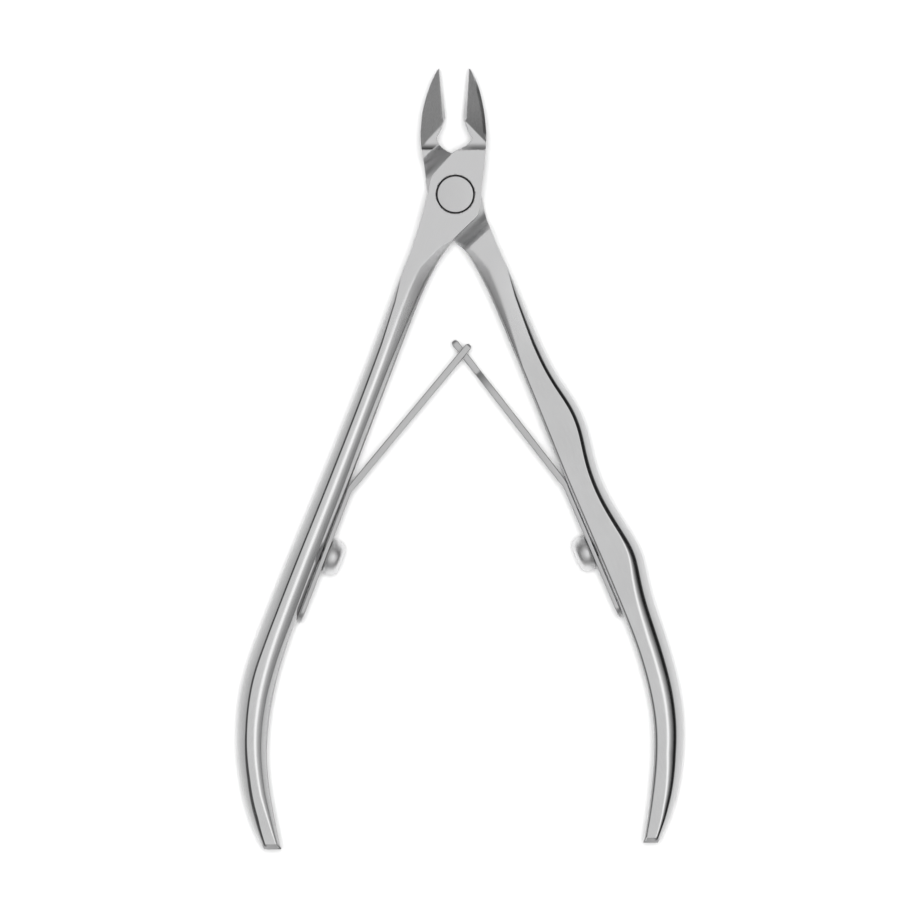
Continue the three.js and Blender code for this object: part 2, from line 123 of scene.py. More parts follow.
LEFT_SPRING = dict(
    side=1, seat=(-20.0, -53.85), tilt=-20.96, bend=10.5, arm_angle=18.7, arm_length=28.2
)
RIGHT_SPRING = dict(
    side=-1, seat=(21.04, -53.2), tilt=23.0, bend=10.8, arm_angle=14.83, arm_length=27.3
)

# ---- roundings, fineness of the meshes, and reach of the wear with painted highlight and of the painted shade ----

HEAD_STEP = 0.15
CORNER_SOFTNESS = 0.13
HANDLE_SOFTNESS = 1.6
SOFTER_BELOW = -9
SOFTER_OVER = 5
SIDE_SAMPLES = 120
ROWS = 181
COLUMNS = 9
CROWN = 0.018
CROWN_RAMP = 8
RIDGE_ROUNDING = 0.3
FACET_ROUNDING = 0.06
BEVEL_ROUNDING = 0.12
GROUND_FADE = 0.05
SLIVER = 1e-5

EDGE_RADIUS = 0.08
CUTTING_EDGE_RADIUS = 0.012
HANDLE_WALL_RADIUS = 0.3
TURN_WIDTH = 0.04
HEAD_EDGE_POINTS = 45
END_WALL = 0.12
END_BEVEL = 0.75
END_SLOPE = 36

# Bands of an edge from the wall to the face: (tilt at its start, tilt at its end, steps).
EDGE_BANDS = [(90, 43, 4), (43, 39.5, 4), (39.5, 37, 1), (37, 19.5, 4), (19.5, 15.5, 2), (15.5, 0, 4)]
BAND_SPANS = np.array([math.sin(math.radians(p)) - math.sin(math.radians(q)) for p, q, _ in EDGE_BANDS])
RINGS = 1 + sum(steps for _, _, steps in EDGE_BANDS)
CREASE_RING = 9

HEAD_GRID = 0.18
JAW_GRID = 0.1
GRID_CLEARANCE = 0.05
FEATURE_STEP = 0.3
RECESS_MARKS = (RECESS_FOOT, 4.9, 5.5, 6.1, 6.55, 6.85, 7.03, 7.11, 7.19, 7.3)
JAW_STEP_MARKS = (0, JAW_STEP_WALL, 0.12, 0.25, 0.42, 0.62, 0.85, 1.1)
HOLE_STEPS = 96
# How far from the recess ridge the lighter, rougher band reaches: partly wear, partly painted highlight.
RIDGE_WEAR_AND_HIGHLIGHT = 1.7
# How far up from the foot of the jaw's step the painted shade fades out.
STEP_SHADE_REACH = 0.95

LEAF_STEP = 0.22
LEAF_GRID = 0.35
LEAF_EDGE = 0.14
LEAF_RINGS = 5
TIP_ROUNDING = 0.5
BEND_RADIUS = 2.6
BEND_REACH = 1.6

# ---- outlines seen from the front, from the joint down to the handles' ends ----

LEFT_OUTER = [
    (-4.26, -0.2), (-5.19, -3.8), (-6.63, -8.3), (-8.81, -13.7), (-14.28, -28.1),
    (-20.07, -42.5), (-26.04, -56.9), (-29.58, -65.9), (-31.95, -73.1), (-32.83, -81.5),
    (-32.1, -89.0), (-30.48, -94.7), (-28.7, -98.2),
]
LEFT_INNER = [
    (-0.1, -6.5), (-0.66, -7.4), (-1.41, -8.3), (-2.58, -10.1), (-4.49, -13.7),
    (-5.94, -17.3), (-11.5, -31.7), (-15.66, -42.5), (-24.62, -65.9), (-27.2, -74.7),
    (-28.22, -82.5), (-27.9, -88.5), (-26.9, -94.2), (-26.1, -98.2),
]
RIGHT_OUTER = [
    (4.01, -0.2), (4.79, -3.8), (6.56, -8.3), (8.25, -11.9), (12.11, -20.9), (14.2, -25.4),
    (15.83, -28.1), (18.35, -31.7), (19.8, -35.3), (20.55, -38.9), (21.68, -42.5),
    (23.43, -46.1), (25.68, -49.7), (27.89, -53.3), (28.67, -56.9), (29.55, -60.5),
    (31.97, -67.7), (33.78, -74.9), (34.31, -81.5), (33.6, -88.5), (32.1, -93.8),
    (30.4, -97.2),
]
RIGHT_INNER = [
    (-0.2, -6.75), (0.38, -7.4), (1.37, -8.3), (2.61, -10.1), (4.55, -13.7), (6.15, -17.3),
    (12.11, -31.7), (16.5, -42.5), (25.67, -64.1), (28.14, -71.3), (29.63, -78.5),
    (29.75, -84.5), (29.1, -91.5), (28.2, -97.2),
]

# Edge of each handle by height on it: (height, chamfer, turn into the face, shoulder, soft roll).
# The widths are in millimetres; the tilt of each band is in EDGE_BANDS.
LEFT_OUTER_EDGE = [
    (-98, 0.15, 0.24, 0.02, 0.03), (-94, 0.60, 0.46, 0.04, 0.05), (-88, 0.95, 0.40, 0.05, 0.06),
    (-80, 1.15, 0.26, 0.04, 0.05), (-62, 1.20, 0.22, 0.04, 0.04), (-36, 0.88, 0.22, 0.04, 0.04),
    (-22, 0.72, 0.20, 0.03, 0.04), (-16, 0.42, 0.15, 0.02, 0.03), (-11.5, 0, 0, 0, 0),
]
LEFT_INNER_EDGE = [
    (-98, 0.30, 0.03, 0.06, 0.10), (-90, 0.70, 0.03, 0.42, 0.58), (-80, 0.86, 0.03, 0.60, 0.90),
    (-76, 0.84, 0.03, 0.64, 0.95), (-70, 0.68, 0.03, 0.78, 0.98), (-64, 0.48, 0.03, 0.94, 1.02),
    (-44, 0.48, 0.03, 0.86, 1.02), (-36, 0.60, 0.03, 0.74, 0.98), (-26, 0.56, 0.05, 0.84, 0.90),
    (-18, 0.32, 0.14, 1.25, 0.60), (-12, 0.15, 0.26, 1.35, 0.34), (-8.2, 0.05, 0.18, 0.50, 0.22),
    (-6.6, 0, 0, 0, 0),
]
RIGHT_OUTER_EDGE = [
    (-97, 0.20, 0.15, 0.06, 0.14), (-92, 0.62, 0.34, 0.20, 0.42), (-84, 0.98, 0.48, 0.46, 0.76),
    (-66, 1.04, 0.56, 0.52, 0.86), (-57, 0.94, 0.56, 0.34, 0.54), (-50, 0.86, 0.54, 0.08, 0.12),
    (-36, 0.74, 0.50, 0.04, 0.05), (-22, 0.58, 0.44, 0.03, 0.04), (-15, 0.34, 0.26, 0.02, 0.03),
    (-10.5, 0, 0, 0, 0),
]
RIGHT_INNER_EDGE = [
    (-97, 0.15, 0.10, 0.06, 0.12), (-85, 0.20, 0.14, 0.08, 0.20), (-60, 0.16, 0.12, 0.05, 0.10),
    (-26, 0.16, 0.06, 0.08, 0.10), (-18, 0.20, 0.12, 0.55, 0.45), (-12, 0.15, 0.20, 0.90, 0.55),
    (-8.4, 0.05, 0.14, 0.40, 0.30), (-6.8, 0, 0, 0, 0),
]


def side_of(points):
    """x as a smooth function of y through a side's points, as in the CAD part."""
    xs, ys = np.array(points, float).T
    last = len(xs) - 1
    before = np.clip(np.arange(last + 1) - 1, 0, last)
    after = np.clip(np.arange(last + 1) + 1, 0, last)
    slopes = (xs[after] - xs[before]) / (ys[after] - ys[before])

    def x_at(y):
        y = np.asarray(y, float)
        i = np.clip(np.searchsorted(-ys, -y, side="left") - 1, 0, last - 1)
        span = ys[i + 1] - ys[i]
        t = (y - ys[i]) / span
        start = (1 + 2 * t) * (1 - t) ** 2 * xs[i] + t * (1 - t) ** 2 * span * slopes[i]
        end = t * t * (3 - 2 * t) * xs[i + 1] + t * t * (t - 1) * span * slopes[i + 1]
        return start + end

    return x_at


def curve(points, per_span=12):
    """Points of a smooth curve through the given ones."""
    p = np.array(points, float)
    padded = np.vstack([p[:1], p, p[-1:]])
    t = np.linspace(0, 1, per_span, endpoint=False)[:, None]
    found = []
    for i in range(len(p) - 1):
        a, b, c, d = padded[i : i + 4]
        u, v = (c - a) / 2, (d - b) / 2
        found.append((2 * b - 2 * c + u + v) * t**3 + (3 * c - 3 * b - 2 * u - v) * t**2 + u * t + b)
    return np.vstack([*found, p[-1:]])


def resample(path, step):
    """The same path with even spacing of about step."""
    along = np.concatenate([[0], np.cumsum(np.linalg.norm(np.diff(path, axis=0), axis=1))])
    count = max(2, int(round(along[-1] / step)) + 1)
    at = np.linspace(0, along[-1], count)
    return np.stack([np.interp(at, along, path[:, k]) for k in (0, 1)], axis=1)


def soften(path, step, sigma):
    """The path smoothed along its length, with its two ends kept."""
    reach = int(4 * sigma / step) + 1
    kernel = np.exp(-0.5 * (np.arange(-reach, reach + 1) * step / sigma) ** 2)
    kernel /= kernel.sum()
    head = 2 * path[0] - path[reach:0:-1]
    tail = 2 * path[-1] - path[-2 : -reach - 2 : -1]
    padded = np.vstack([head, path, tail])
    return np.stack([np.convolve(padded[:, k], kernel, "valid") for k in (0, 1)], axis=1)


def smooth(t):
    u = np.clip(t, 0, 1)
    return u * u * (3 - 2 * u)


def smooth_min(a, b, reach):
    share = np.clip(reach - np.abs(a - b), 0, None) / reach
    return np.minimum(a, b) - share * share * reach / 4


def rotated(x, y, angle):
    """Coordinates turned anticlockwise by an angle in degrees."""
    turn = math.radians(angle)
    return x * math.cos(turn) - y * math.sin(turn), x * math.sin(turn) + y * math.cos(turn)


def edge_point(angle, radius):
    return rotated(0, radius, -angle)


def circle(radius, steps):
    turn = np.arange(steps) * 2 * math.pi / steps
    return radius * np.column_stack([np.cos(turn), np.sin(turn)])


left_outer, left_inner = side_of(LEFT_OUTER), side_of(LEFT_INNER)
right_outer, right_inner = side_of(RIGHT_OUTER), side_of(RIGHT_INNER)


def on_side(side, heights):
    return [(float(side(y)), y) for y in heights]


def rows_of(side, end):
    return on_side(side, np.linspace(HANDLE_ROOT, end, SIDE_SAMPLES))


def side_path(pieces, end):
    """One side of a half from its tip down: (its points on the head, its points on the handle)."""
    path = resample(np.vstack(pieces), HEAD_STEP)
    crisp = soften(path, HEAD_STEP, CORNER_SOFTNESS)
    flowing = soften(path, HEAD_STEP, HANDLE_SOFTNESS)
    share = smooth((SOFTER_BELOW - path[:, 1]) / SOFTER_OVER)[:, None]
    path = crisp * (1 - share) + flowing * share
    path[-1, 1] = end
    root = int(np.argmax(path[:, 1] < HANDLE_JOIN))
    return path[:root], path[root - 1 :]


def front_sides():
    """Both sides of the front half, from the right jaw's tip down the left handle."""
    heel = edge_point(RIGHT_EDGE_ANGLE, EDGE_HEEL_RADIUS)
    tip = edge_point(RIGHT_EDGE_ANGLE, EDGE_TIP_RADIUS)
    throat = [(1.85, 9.7), (2.5, 8.6), (2.3, 7.9), (1.5, 7.25), (0.4, 6.72), (-0.53, 6.14)]
    shoulder = [(-3.0, 3.4), (-3.6, 2.4), (-4.04, 0.39), *on_side(left_outer, [-0.2, -3.8, -8])]
    jaw = [(tip[0] + 0.35, tip[1] - 0.25), (3.45, 16.3), (4.29, 12.7), (4.65, 9.1), (4.64, 7.3)]
    flank = [(4.46, 5.2), (4.14, 2.5), (3.95, 0.5), (3.84, -0.75), (3.47, -2.87), (2.9, -3.65)]
    crotch = [(-0.1, -6.5), *on_side(left_inner, [-7.4, -8])]
    outer_rows, inner_rows = (rows_of(side, LEFT_HANDLE_END) for side in (left_outer, left_inner))
    inside = [[tip, heel], curve(throat), curve(shoulder), outer_rows]
    outside = [[tip], curve(jaw), curve([jaw[-1], *flank]), curve(crotch), inner_rows]
    return inside, outside


def back_sides():
    """Both sides of the back half, from the left jaw's tip down the right handle."""
    heel = edge_point(LEFT_EDGE_ANGLE, EDGE_HEEL_RADIUS + 0.3)
    tip = edge_point(LEFT_EDGE_ANGLE, EDGE_TIP_RADIUS)
    throat = [(-2.21, 9.7), (-2.8, 8.6), (-2.72, 8.0), (-2.35, 7.35), (-1.5, 6.72), (-0.75, 6.35), (0.2, 6.2)]
    shoulder = [(3.0, 3.4), (3.6, 2.4), *on_side(right_outer, [-0.2, -3.8, -8])]
    jaw = [(tip[0] - 0.4, tip[1] - 0.3), (-3.86, 16.3), (-4.89, 12.7), (-5.24, 9.1), (-5.19, 7.3)]
    flank = [(-5.01, 6.1), (-4.68, 4.3), (-4.26, 0.7), (-3.84, -0.75), (-3.47, -2.87), (-2.9, -3.65)]
    crotch = on_side(right_inner, [-6.8, -7.4, -8])
    outer_rows, inner_rows = (rows_of(side, RIGHT_HANDLE_END) for side in (right_outer, right_inner))
    outside = [[tip], curve(jaw), curve([jaw[-1], *flank]), curve(crotch), inner_rows]
    inside = [[tip, heel], curve(throat), curve(shoulder), outer_rows]
    return outside, inside


# ---- heights of the faces ----


def half_thickness(y, end):
    shoulder = smooth((HANDLE_ROOT - y) / (HANDLE_ROOT - HANDLE_SHOULDER))
    run = np.clip((HANDLE_SHOULDER - y) / (HANDLE_SHOULDER - end), 0, 1)
    thinning = (HANDLE_HALF_THICKNESS - HANDLE_END_HALF_THICKNESS) * run**HANDLE_THINNING_POWER
    return MID + (HANDLE_HALF_THICKNESS - MID) * shoulder - thinning


def crown(x, y, outer, inner):
    """How far a handle's face falls from its middle towards its sides."""
    row = np.minimum(y, HANDLE_ROOT)
    low, high = outer(row), inner(row)
    width = np.abs(high - low)
    across = 2 * (x - low) / (high - low) - 1
    return CROWN * width * across**2 * smooth((HANDLE_ROOT - y) / CROWN_RAMP)


def past_line(x, y, heel, rim):
    """Distance past the line where a jaw's ground facet starts, towards the tip."""
    outward = np.array([heel[1] - rim[1], rim[0] - heel[0]]) * np.sign(rim[0] - heel[0])
    outward /= np.linalg.norm(outward)
    return (x - heel[0]) * outward[0] + (y - heel[1]) * outward[1]


def half_height(x, y, spec):
    """Height of a half's front face above mid thickness, and whether it is the ground facet."""
    body = half_thickness(y, spec["end"]) - crown(x, y, spec["outer"], spec["inner"])
    run = np.clip((y - JAW_STEP_START - JAW_STEP_WALL) / (JAW_STEP_END - JAW_STEP_START), 0, 1)
    lip = np.clip((y - JAW_STEP_START) / JAW_STEP_WALL, 0, 1)
    body = body - JAW_STEP_LIP * lip - (JAW_STEP_DEPTH - JAW_STEP_LIP) * (1 - (1 - run) ** 2)
    past = past_line(x, y, *spec["facet"])
    fall = np.where(past > 0, past * math.tan(math.radians(FACET_SLOPE)), past * BEFORE_FACET)
    facet = MID - JAW_STEP_DEPTH - fall
    across, along = rotated(x, y, spec["edge_angle"])
    depth = -spec["inward"] * across
    ramp = HEEL_RAMP * np.clip(EDGE_HEEL_RADIUS - along, 0, None)
    bevel = EDGE_LAND + depth / math.tan(math.radians(EDGE_BEVEL)) + ramp
    ground = smooth((body - facet) / GROUND_FADE) * smooth((bevel - facet) / GROUND_FADE)
    flat = smooth_min(body, facet, FACET_ROUNDING)
    return smooth_min(flat, np.maximum(bevel, EDGE_LAND), BEVEL_ROUNDING), ground


def wall_rise(distance):
    """Height of the lap recess's side wall above its floor."""
    steepest = math.radians(RECESS_WALL_STEEPEST)
    reach = RECESS_WALL_RADIUS * math.sin(steepest)
    past = np.clip(distance - RECESS_FOOT, 0, None)
    arc = RECESS_WALL_RADIUS - np.sqrt(RECESS_WALL_RADIUS**2 - np.minimum(past, reach) ** 2)
    return arc + np.clip(past - reach, 0, None) * math.tan(steepest)


def recess_distance(x, y, angle):
    """Distance from the middle line of the lap recess that runs at an angle."""
    return np.abs(rotated(x, y, -angle)[1])


def back_top(x, y):
    height, ground = half_height(x, y, BACK)
    floor = MID - LAP_CLEARANCE / 2
    wall = floor + wall_rise(recess_distance(x, y, RECESS_ANGLE))
    return smooth_min(MID + height, wall, RIDGE_ROUNDING), ground


def back_bottom(x, y):
    height, ground = half_height(x, y, BACK)
    return MID - height, ground


def front_top(x, y):
    height, ground = half_height(x, y, FRONT)
    return MID + height, ground


def signed_distance(x, y, loop):
    """Distance outside a closed loop, negative inside it."""
    a, b = loop, np.roll(loop, -1, axis=0)
    found = np.full(len(x), 1e9)
    inside = np.zeros(len(x), bool)
    for (ax, ay), (bx, by) in zip(a, b):
        ex, ey = bx - ax, by - ay
        t = np.clip(((x - ax) * ex + (y - ay) * ey) / (ex * ex + ey * ey + 1e-12), 0, 1)
        found = np.minimum(found, (x - ax - t * ex) ** 2 + (y - ay - t * ey) ** 2)
        if ay != by:
            crosses = (ay > y) != (by > y)
            inside ^= crosses & (x < ax + (y - ay) / (by - ay) * ex)
    return np.sqrt(found) * np.where(inside, -1, 1)


def front_bottom(x, y):
    """The rear of the front half: its own recess, relieved where the back half swings under it."""
    height, ground = half_height(x, y, FRONT)
    roof = MID + LAP_CLEARANCE / 2
    wall = roof - wall_rise(recess_distance(x, y, 180 - RECESS_ANGLE))
    low = -smooth_min(-(MID - height), -wall, RIDGE_ROUNDING)
    near = (np.hypot(x, y) < 13) & (y < 9)
    px, py = x[near], y[near]
    for angle in (OPENING_ANGLE, 0, CLOSING_ANGLE / 2, CLOSING_ANGLE, CLOSING_ANGLE + RELIEF_OVERTRAVEL):
        qx, qy = rotated(px, py, angle)
        outside = signed_distance(qx, qy, back_loop)
        mate = back_top(qx, qy)[0] + RELIEF_GAP - RELIEF_RAMP * np.clip(outside - RELIEF_GAP, 0, None)
        low[near] = np.maximum(low[near], mate)
    return low, ground


SHANK_HOLE = RIVET_SHANK_RADIUS + RIVET_RUNNING_GAP
HEAD_HOLE = RIVET_HEAD_RADIUS + RIVET_HEAD_GAP
HEAD_HOLE_FLOOR = JOINT_THICKNESS - RIVET_HEAD_HEIGHT - RIVET_RUNNING_GAP

FRONT = dict(
    name="front_half",
    outer=left_outer,
    inner=left_inner,
    outer_edge=LEFT_OUTER_EDGE,
    inner_edge=LEFT_INNER_EDGE,
    end=LEFT_HANDLE_END,
    edge_angle=RIGHT_EDGE_ANGLE,
    inward=-1,
    jaw_back_strip=JAW_BACK_STRIP,
    facet=((1.6, 10.8), (4.6, 7.7)),
    recess_angle=180 - RECESS_ANGLE,
    first_side_outer=True,
    top=front_top,
    bottom=front_bottom,
    hole=[(HEAD_HOLE, HEAD_HOLE_FLOOR), (SHANK_HOLE, HEAD_HOLE_FLOOR)],
    hole_top=HEAD_HOLE,
    hole_bottom=SHANK_HOLE,
)
BACK = dict(
    name="back_half",
    outer=right_outer,
    inner=right_inner,
    outer_edge=RIGHT_OUTER_EDGE,
    inner_edge=RIGHT_INNER_EDGE,
    end=RIGHT_HANDLE_END,
    edge_angle=LEFT_EDGE_ANGLE,
    inward=1,
    jaw_back_strip=0.0,
    facet=((-1.55, 10.9), (-5.0, 7.2)),
    recess_angle=RECESS_ANGLE,
    first_side_outer=False,
    top=back_top,
    bottom=back_bottom,
    hole=[(SHANK_HOLE, RIVET_TAIL_HEIGHT)],
    hole_top=SHANK_HOLE,
    hole_bottom=RIVET_TAIL_RADIUS + RIVET_RUNNING_GAP,
)

# ---- meshes ----


def new_object(name, data):
    made = bpy.data.objects.new(name, data)
    bpy.context.scene.collection.objects.link(made)
    return made


def read(items, field, width):
    """One field of every item of a mesh, as rows of numbers."""
    found = np.zeros(len(items) * width)
    items.foreach_get(field, found)
    return found.reshape(-1, width)


def make_mesh(name, verts, faces, values=None):
    """A mesh object in metres whose shading follows its large faces, with named point values."""
    used, corners = np.unique(np.concatenate(faces), return_inverse=True)
    ends = np.cumsum([len(f) for f in faces])
    faces = [part.tolist() for part in np.split(corners, ends[:-1])]
    mesh = bpy.data.meshes.new(name)
    mesh.from_pydata((verts[used] * MM).tolist(), [], faces)
    mesh.validate()
    mesh.update()
    weighted = read(mesh.polygons, "normal", 3) * read(mesh.polygons, "area", 1)
    loops = read(mesh.polygons, "loop_total", 1).ravel().astype(int)
    corner = read(mesh.loops, "vertex_index", 1).ravel().astype(int)
    per_corner = np.repeat(weighted, loops, axis=0)
    normals = np.stack([np.bincount(corner, axis, len(used)) for axis in per_corner.T], axis=1)
    normals /= np.linalg.norm(normals, axis=1)[:, None] + 1e-30
    mesh.shade_smooth()
    mesh.normals_split_custom_set_from_vertices(normals.tolist())
    for key, value in (values or {}).items():
        layer = mesh.attributes.new(key, "FLOAT", "POINT")
        layer.data.foreach_set("value", value[used].astype(np.float32))
    return new_object(name, mesh)


def rim_profile(bands):
    """Inset and drop of each ring of an edge, from the wall to the face, for every outline point."""
    inset, rise = [np.zeros(bands.shape[1])], [np.zeros(bands.shape[1])]
    for (start, end, steps), width, span in zip(EDGE_BANDS, bands, BAND_SPANS):
        radius = width / span
        first_inset, first_rise = inset[-1], rise[-1]
        first = math.radians(start)
        for phi in np.linspace(first, math.radians(end), steps + 1)[1:]:
            inset.append(first_inset + radius * (math.sin(first) - math.sin(phi)))
            rise.append(first_rise + radius * (math.cos(phi) - math.cos(first)))
    return np.array(inset), rise[-1] - np.array(rise)


def loop_normals(loop):
    ahead = np.roll(loop, -1, axis=0) - loop
    behind = loop - np.roll(loop, 1, axis=0)
    ahead /= np.linalg.norm(ahead, axis=1)[:, None]
    behind /= np.linalg.norm(behind, axis=1)[:, None]
    mean = ahead + behind
    length = np.linalg.norm(mean, axis=1)[:, None]
    mean = np.where(length > 0.3, mean / np.maximum(length, 1e-9), ahead)
    return np.stack([mean[:, 1], -mean[:, 0]], axis=1)


def at_heights(path, heights):
    order = np.argsort(path[:, 1])
    return np.stack([np.interp(heights, path[order, 1], path[order, 0]), heights], axis=1)


def round_edge(radius):
    """Widths of the bands of a plain rounded edge."""
    return np.outer(BAND_SPANS, radius)


def edge_at(table, y):
    """Widths of the bands of a handle's edge at the given heights."""
    heights, *columns = np.array(table).T
    chamfer, dark, shoulder, roll = (np.interp(y, heights, column) for column in columns)
    wall = HANDLE_WALL_RADIUS * BAND_SPANS[0] * np.clip(chamfer / 0.4, 0, 1)
    turn = np.minimum(chamfer / 4, TURN_WIDTH)
    bands = np.array([wall, chamfer, turn, dark, shoulder, roll])
    return np.maximum(bands, round_edge(np.full(np.shape(y), EDGE_RADIUS)).reshape(bands.shape))


def outline_of(spec, sides):
    """Closed loop of a half, anticlockwise, with the index where each stretch starts."""
    (head_a, handle_a), (head_b, handle_b) = (side_path(side, spec["end"]) for side in sides)
    rows = np.linspace(HANDLE_JOIN, spec["end"], ROWS)
    down, up = at_heights(handle_a, rows), at_heights(handle_b, rows)
    widths = [edge_at(spec[key], rows[-1:]).sum() for key in ("outer_edge", "inner_edge")]
    first, second = widths if spec["first_side_outer"] else widths[::-1]
    cap = np.linspace(down[-1] + (first, 0), up[-1] - (second, 0), COLUMNS)
    loop = np.vstack([head_a, down, cap, up[::-1], head_b[:0:-1]])
    a = len(head_a)
    return loop, (a, a + ROWS - 1, a + ROWS + COLUMNS, a + 2 * ROWS + COLUMNS - 1)


def edge_sizes(spec, loop, marks):
    """Bands' widths at every outline point, and how much painted shade of the crease, wear with painted
    highlight, and painted shade of the jaw's back strip the edge has there.
    """
    a, b, c, d = marks
    x, y = loop.T
    radius = np.full(len(loop), EDGE_RADIUS)
    across, along = rotated(x, y, spec["edge_angle"])
    sharp = (np.abs(across) < 0.05) & (along > EDGE_HEEL_RADIUS - 0.3)
    radius[sharp] = CUTTING_EDGE_RADIUS
    order = np.arange(len(loop))
    back_side = order > d if spec["first_side_outer"] else order < a
    jaw_back = back_side & (y > JAW_STEP_END)
    fade = smooth((EDGE_TIP_RADIUS - 0.6 - y) / 3) * smooth((y - JAW_STEP_END) / 1.5)
    bands = round_edge(radius)
    strip = spec["jaw_back_strip"] * fade[jaw_back]
    bands[4, jaw_back] = np.maximum(bands[4, jaw_back], strip)
    sides = (order >= a - HEAD_EDGE_POINTS) & (order <= b), (order >= c) & (order <= d + HEAD_EDGE_POINTS)
    outer, inner = sides if spec["first_side_outer"] else sides[::-1]
    bands[:, outer] = edge_at(spec["outer_edge"], y[outer])
    bands[:, inner] = edge_at(spec["inner_edge"], y[inner])
    # Painted shade along the handle's outer crease, darker where the chamfer is wider.
    crease_shade = np.where(outer, np.clip(bands[1] / 0.3, 0, 1), 0)
    # Lighter, rougher thin edges: partly wear, partly painted highlight.
    worn_and_highlit = np.clip(1.3 - bands[1] / 0.15, 0, 1)
    worn_and_highlit[jaw_back] *= 1 - (fade if spec["jaw_back_strip"] else 0.8 * fade)[jaw_back]
    worn_and_highlit[b : c + 1] = 0
    # Painted shade along the back strip of the front half's jaw.
    jaw_strip_shade = np.where(jaw_back, fade, 0) if spec["jaw_back_strip"] else np.zeros(len(loop))
    return bands, crease_shade, worn_and_highlit, jaw_strip_shade


def ring_points(spec, loop, marks, bands, surface, sign):
    """Every ring of the edge on one face, from the wall inwards: ((rings, points, 3), ground)."""
    _, b, c, _ = marks
    inset, drop = rim_profile(bands)
    normals = loop_normals(loop)
    normals[b], normals[c] = normals[b - 1], normals[c + 1]
    cap = slice(b + 1, c)
    normals[cap] = (0, -1)
    round_part = END_WALL * (1 - np.cos(np.linspace(0, 1, 4)))
    flat_inset = np.concatenate([round_part, np.linspace(END_WALL, END_BEVEL, RINGS - 4)])
    flat_drop = (END_BEVEL - flat_inset) * math.tan(math.radians(END_SLOPE))
    inset[:, cap], drop[:, cap] = flat_inset[:, None], flat_drop[:, None]
    points = loop[None] - normals[None] * inset[:, :, None]
    for corner in (b, c):
        points[:, corner, 1] = loop[corner, 1] + flat_inset
        drop[:, corner] = np.maximum(drop[:, corner], flat_drop)
    for step in range(1, 3):
        for k in (b - step, c + step):
            points[:, k, 1] = np.maximum(points[:, k, 1], loop[b, 1] + flat_inset + 0.05 * step)
    flat = points.reshape(-1, 2)
    height, ground = (value.reshape(inset.shape) for value in surface(*flat.T))
    other = spec["bottom" if sign > 0 else "top"](*flat.T)[0].reshape(inset.shape)
    room = np.abs(height - other) * 0.42
    scale = np.minimum(1, room[0] / np.maximum(drop[0], 1e-9))
    z = height - sign * drop * scale
    return np.dstack([points, z]), ground


def feature_lines(spec):
    """Lines that the head's triangles follow: the recess's ridges and wall, and the facet's start."""
    along, across = (np.array(rotated(*axis, spec["recess_angle"])) for axis in ((1, 0), (0, 1)))
    reach = np.arange(-11.1, 11.01, FEATURE_STEP)[:, None]
    lines = [across * side * mark + along * reach for side in (-1, 1) for mark in RECESS_MARKS]
    width = np.arange(-6, 6.01, 0.25)
    for height in JAW_STEP_MARKS:
        lines.append(np.column_stack([width, np.full(len(width), JAW_STEP_START + height)]))
    heel, rim = (np.array(p) for p in spec["facet"])
    facet_start = np.array([heel + (heel - rim), rim + (rim - heel) * 0.4])
    for shift in (-0.04, 0.04):
        lines.append(resample(facet_start + (0, shift), 0.15))
    return lines


def twice_area(points, triangle):
    """Twice the area of one triangle, or of many when its three numbers are arrays."""
    (ax, ay), (bx, by), (cx, cy) = (points[i].T for i in triangle)
    return (bx - ax) * (cy - ay) - (by - ay) * (cx - ax)


def split_slivers(points, triangles, on_edge):
    """Gives the middle point of each flat triangle inside the face to its neighbour on the long side."""
    triangles = [tuple(int(i) for i in t) for t in triangles]
    for index in range(len(triangles)):
        flat = triangles[index]
        if twice_area(points, flat) > SLIVER or all(on_edge[i] for i in flat):
            continue
        turns = [(flat[k], flat[(k + 1) % 3], flat[(k + 2) % 3]) for k in range(3)]
        p, q, middle = max(turns, key=lambda t: np.linalg.norm(points[t[0]] - points[t[1]]))
        for other, near in enumerate(triangles):
            if other != index and p in near and q in near:
                apex = next(i for i in near if i not in (p, q))
                triangles[index], triangles[other] = (middle, p, apex), (q, middle, apex)
                break
    return np.array(triangles)


def inside_only(points, triangles, boundary, on_edge):
    """The triangles inside a loop, without the slivers along its straight stretches."""
    triangles = split_slivers(points, triangles, on_edge)
    inside = signed_distance(*points[triangles].mean(axis=1).T, boundary) < 0
    solid = np.abs(twice_area(points, triangles.T)) > SLIVER
    outer = np.array(on_edge)[triangles].all(axis=1)
    return triangles[inside & (solid | ~outer)]


def fill(boundary, extra, links, tolerance):
    """Triangles inside a loop, through extra points: (points, triangles, sources of each point)."""
    coords = [Vector(p) for p in [*boundary, *extra]]
    face = list(range(len(boundary)))
    made = delaunay_2d_cdt(coords, links, [face], 1, tolerance, True)
    points = np.array([(v.x, v.y) for v in made[0]])
    on_edge = [any(i < len(boundary) for i in source) for source in made[3]]
    return points, inside_only(points, made[2], boundary, on_edge), made[3]


def number_fill(sources, ids, start):
    """Numbers of a fill's points, as on its boundary or from start on, and which points are new."""
    numbers, fresh = np.zeros(len(sources), int), []
    for i, source in enumerate(sources):
        own = [s for s in source if s < len(ids)]
        numbers[i] = ids[own[0]] if own else start + len(fresh)
        if not own:
            fresh.append(i)
    return numbers, fresh


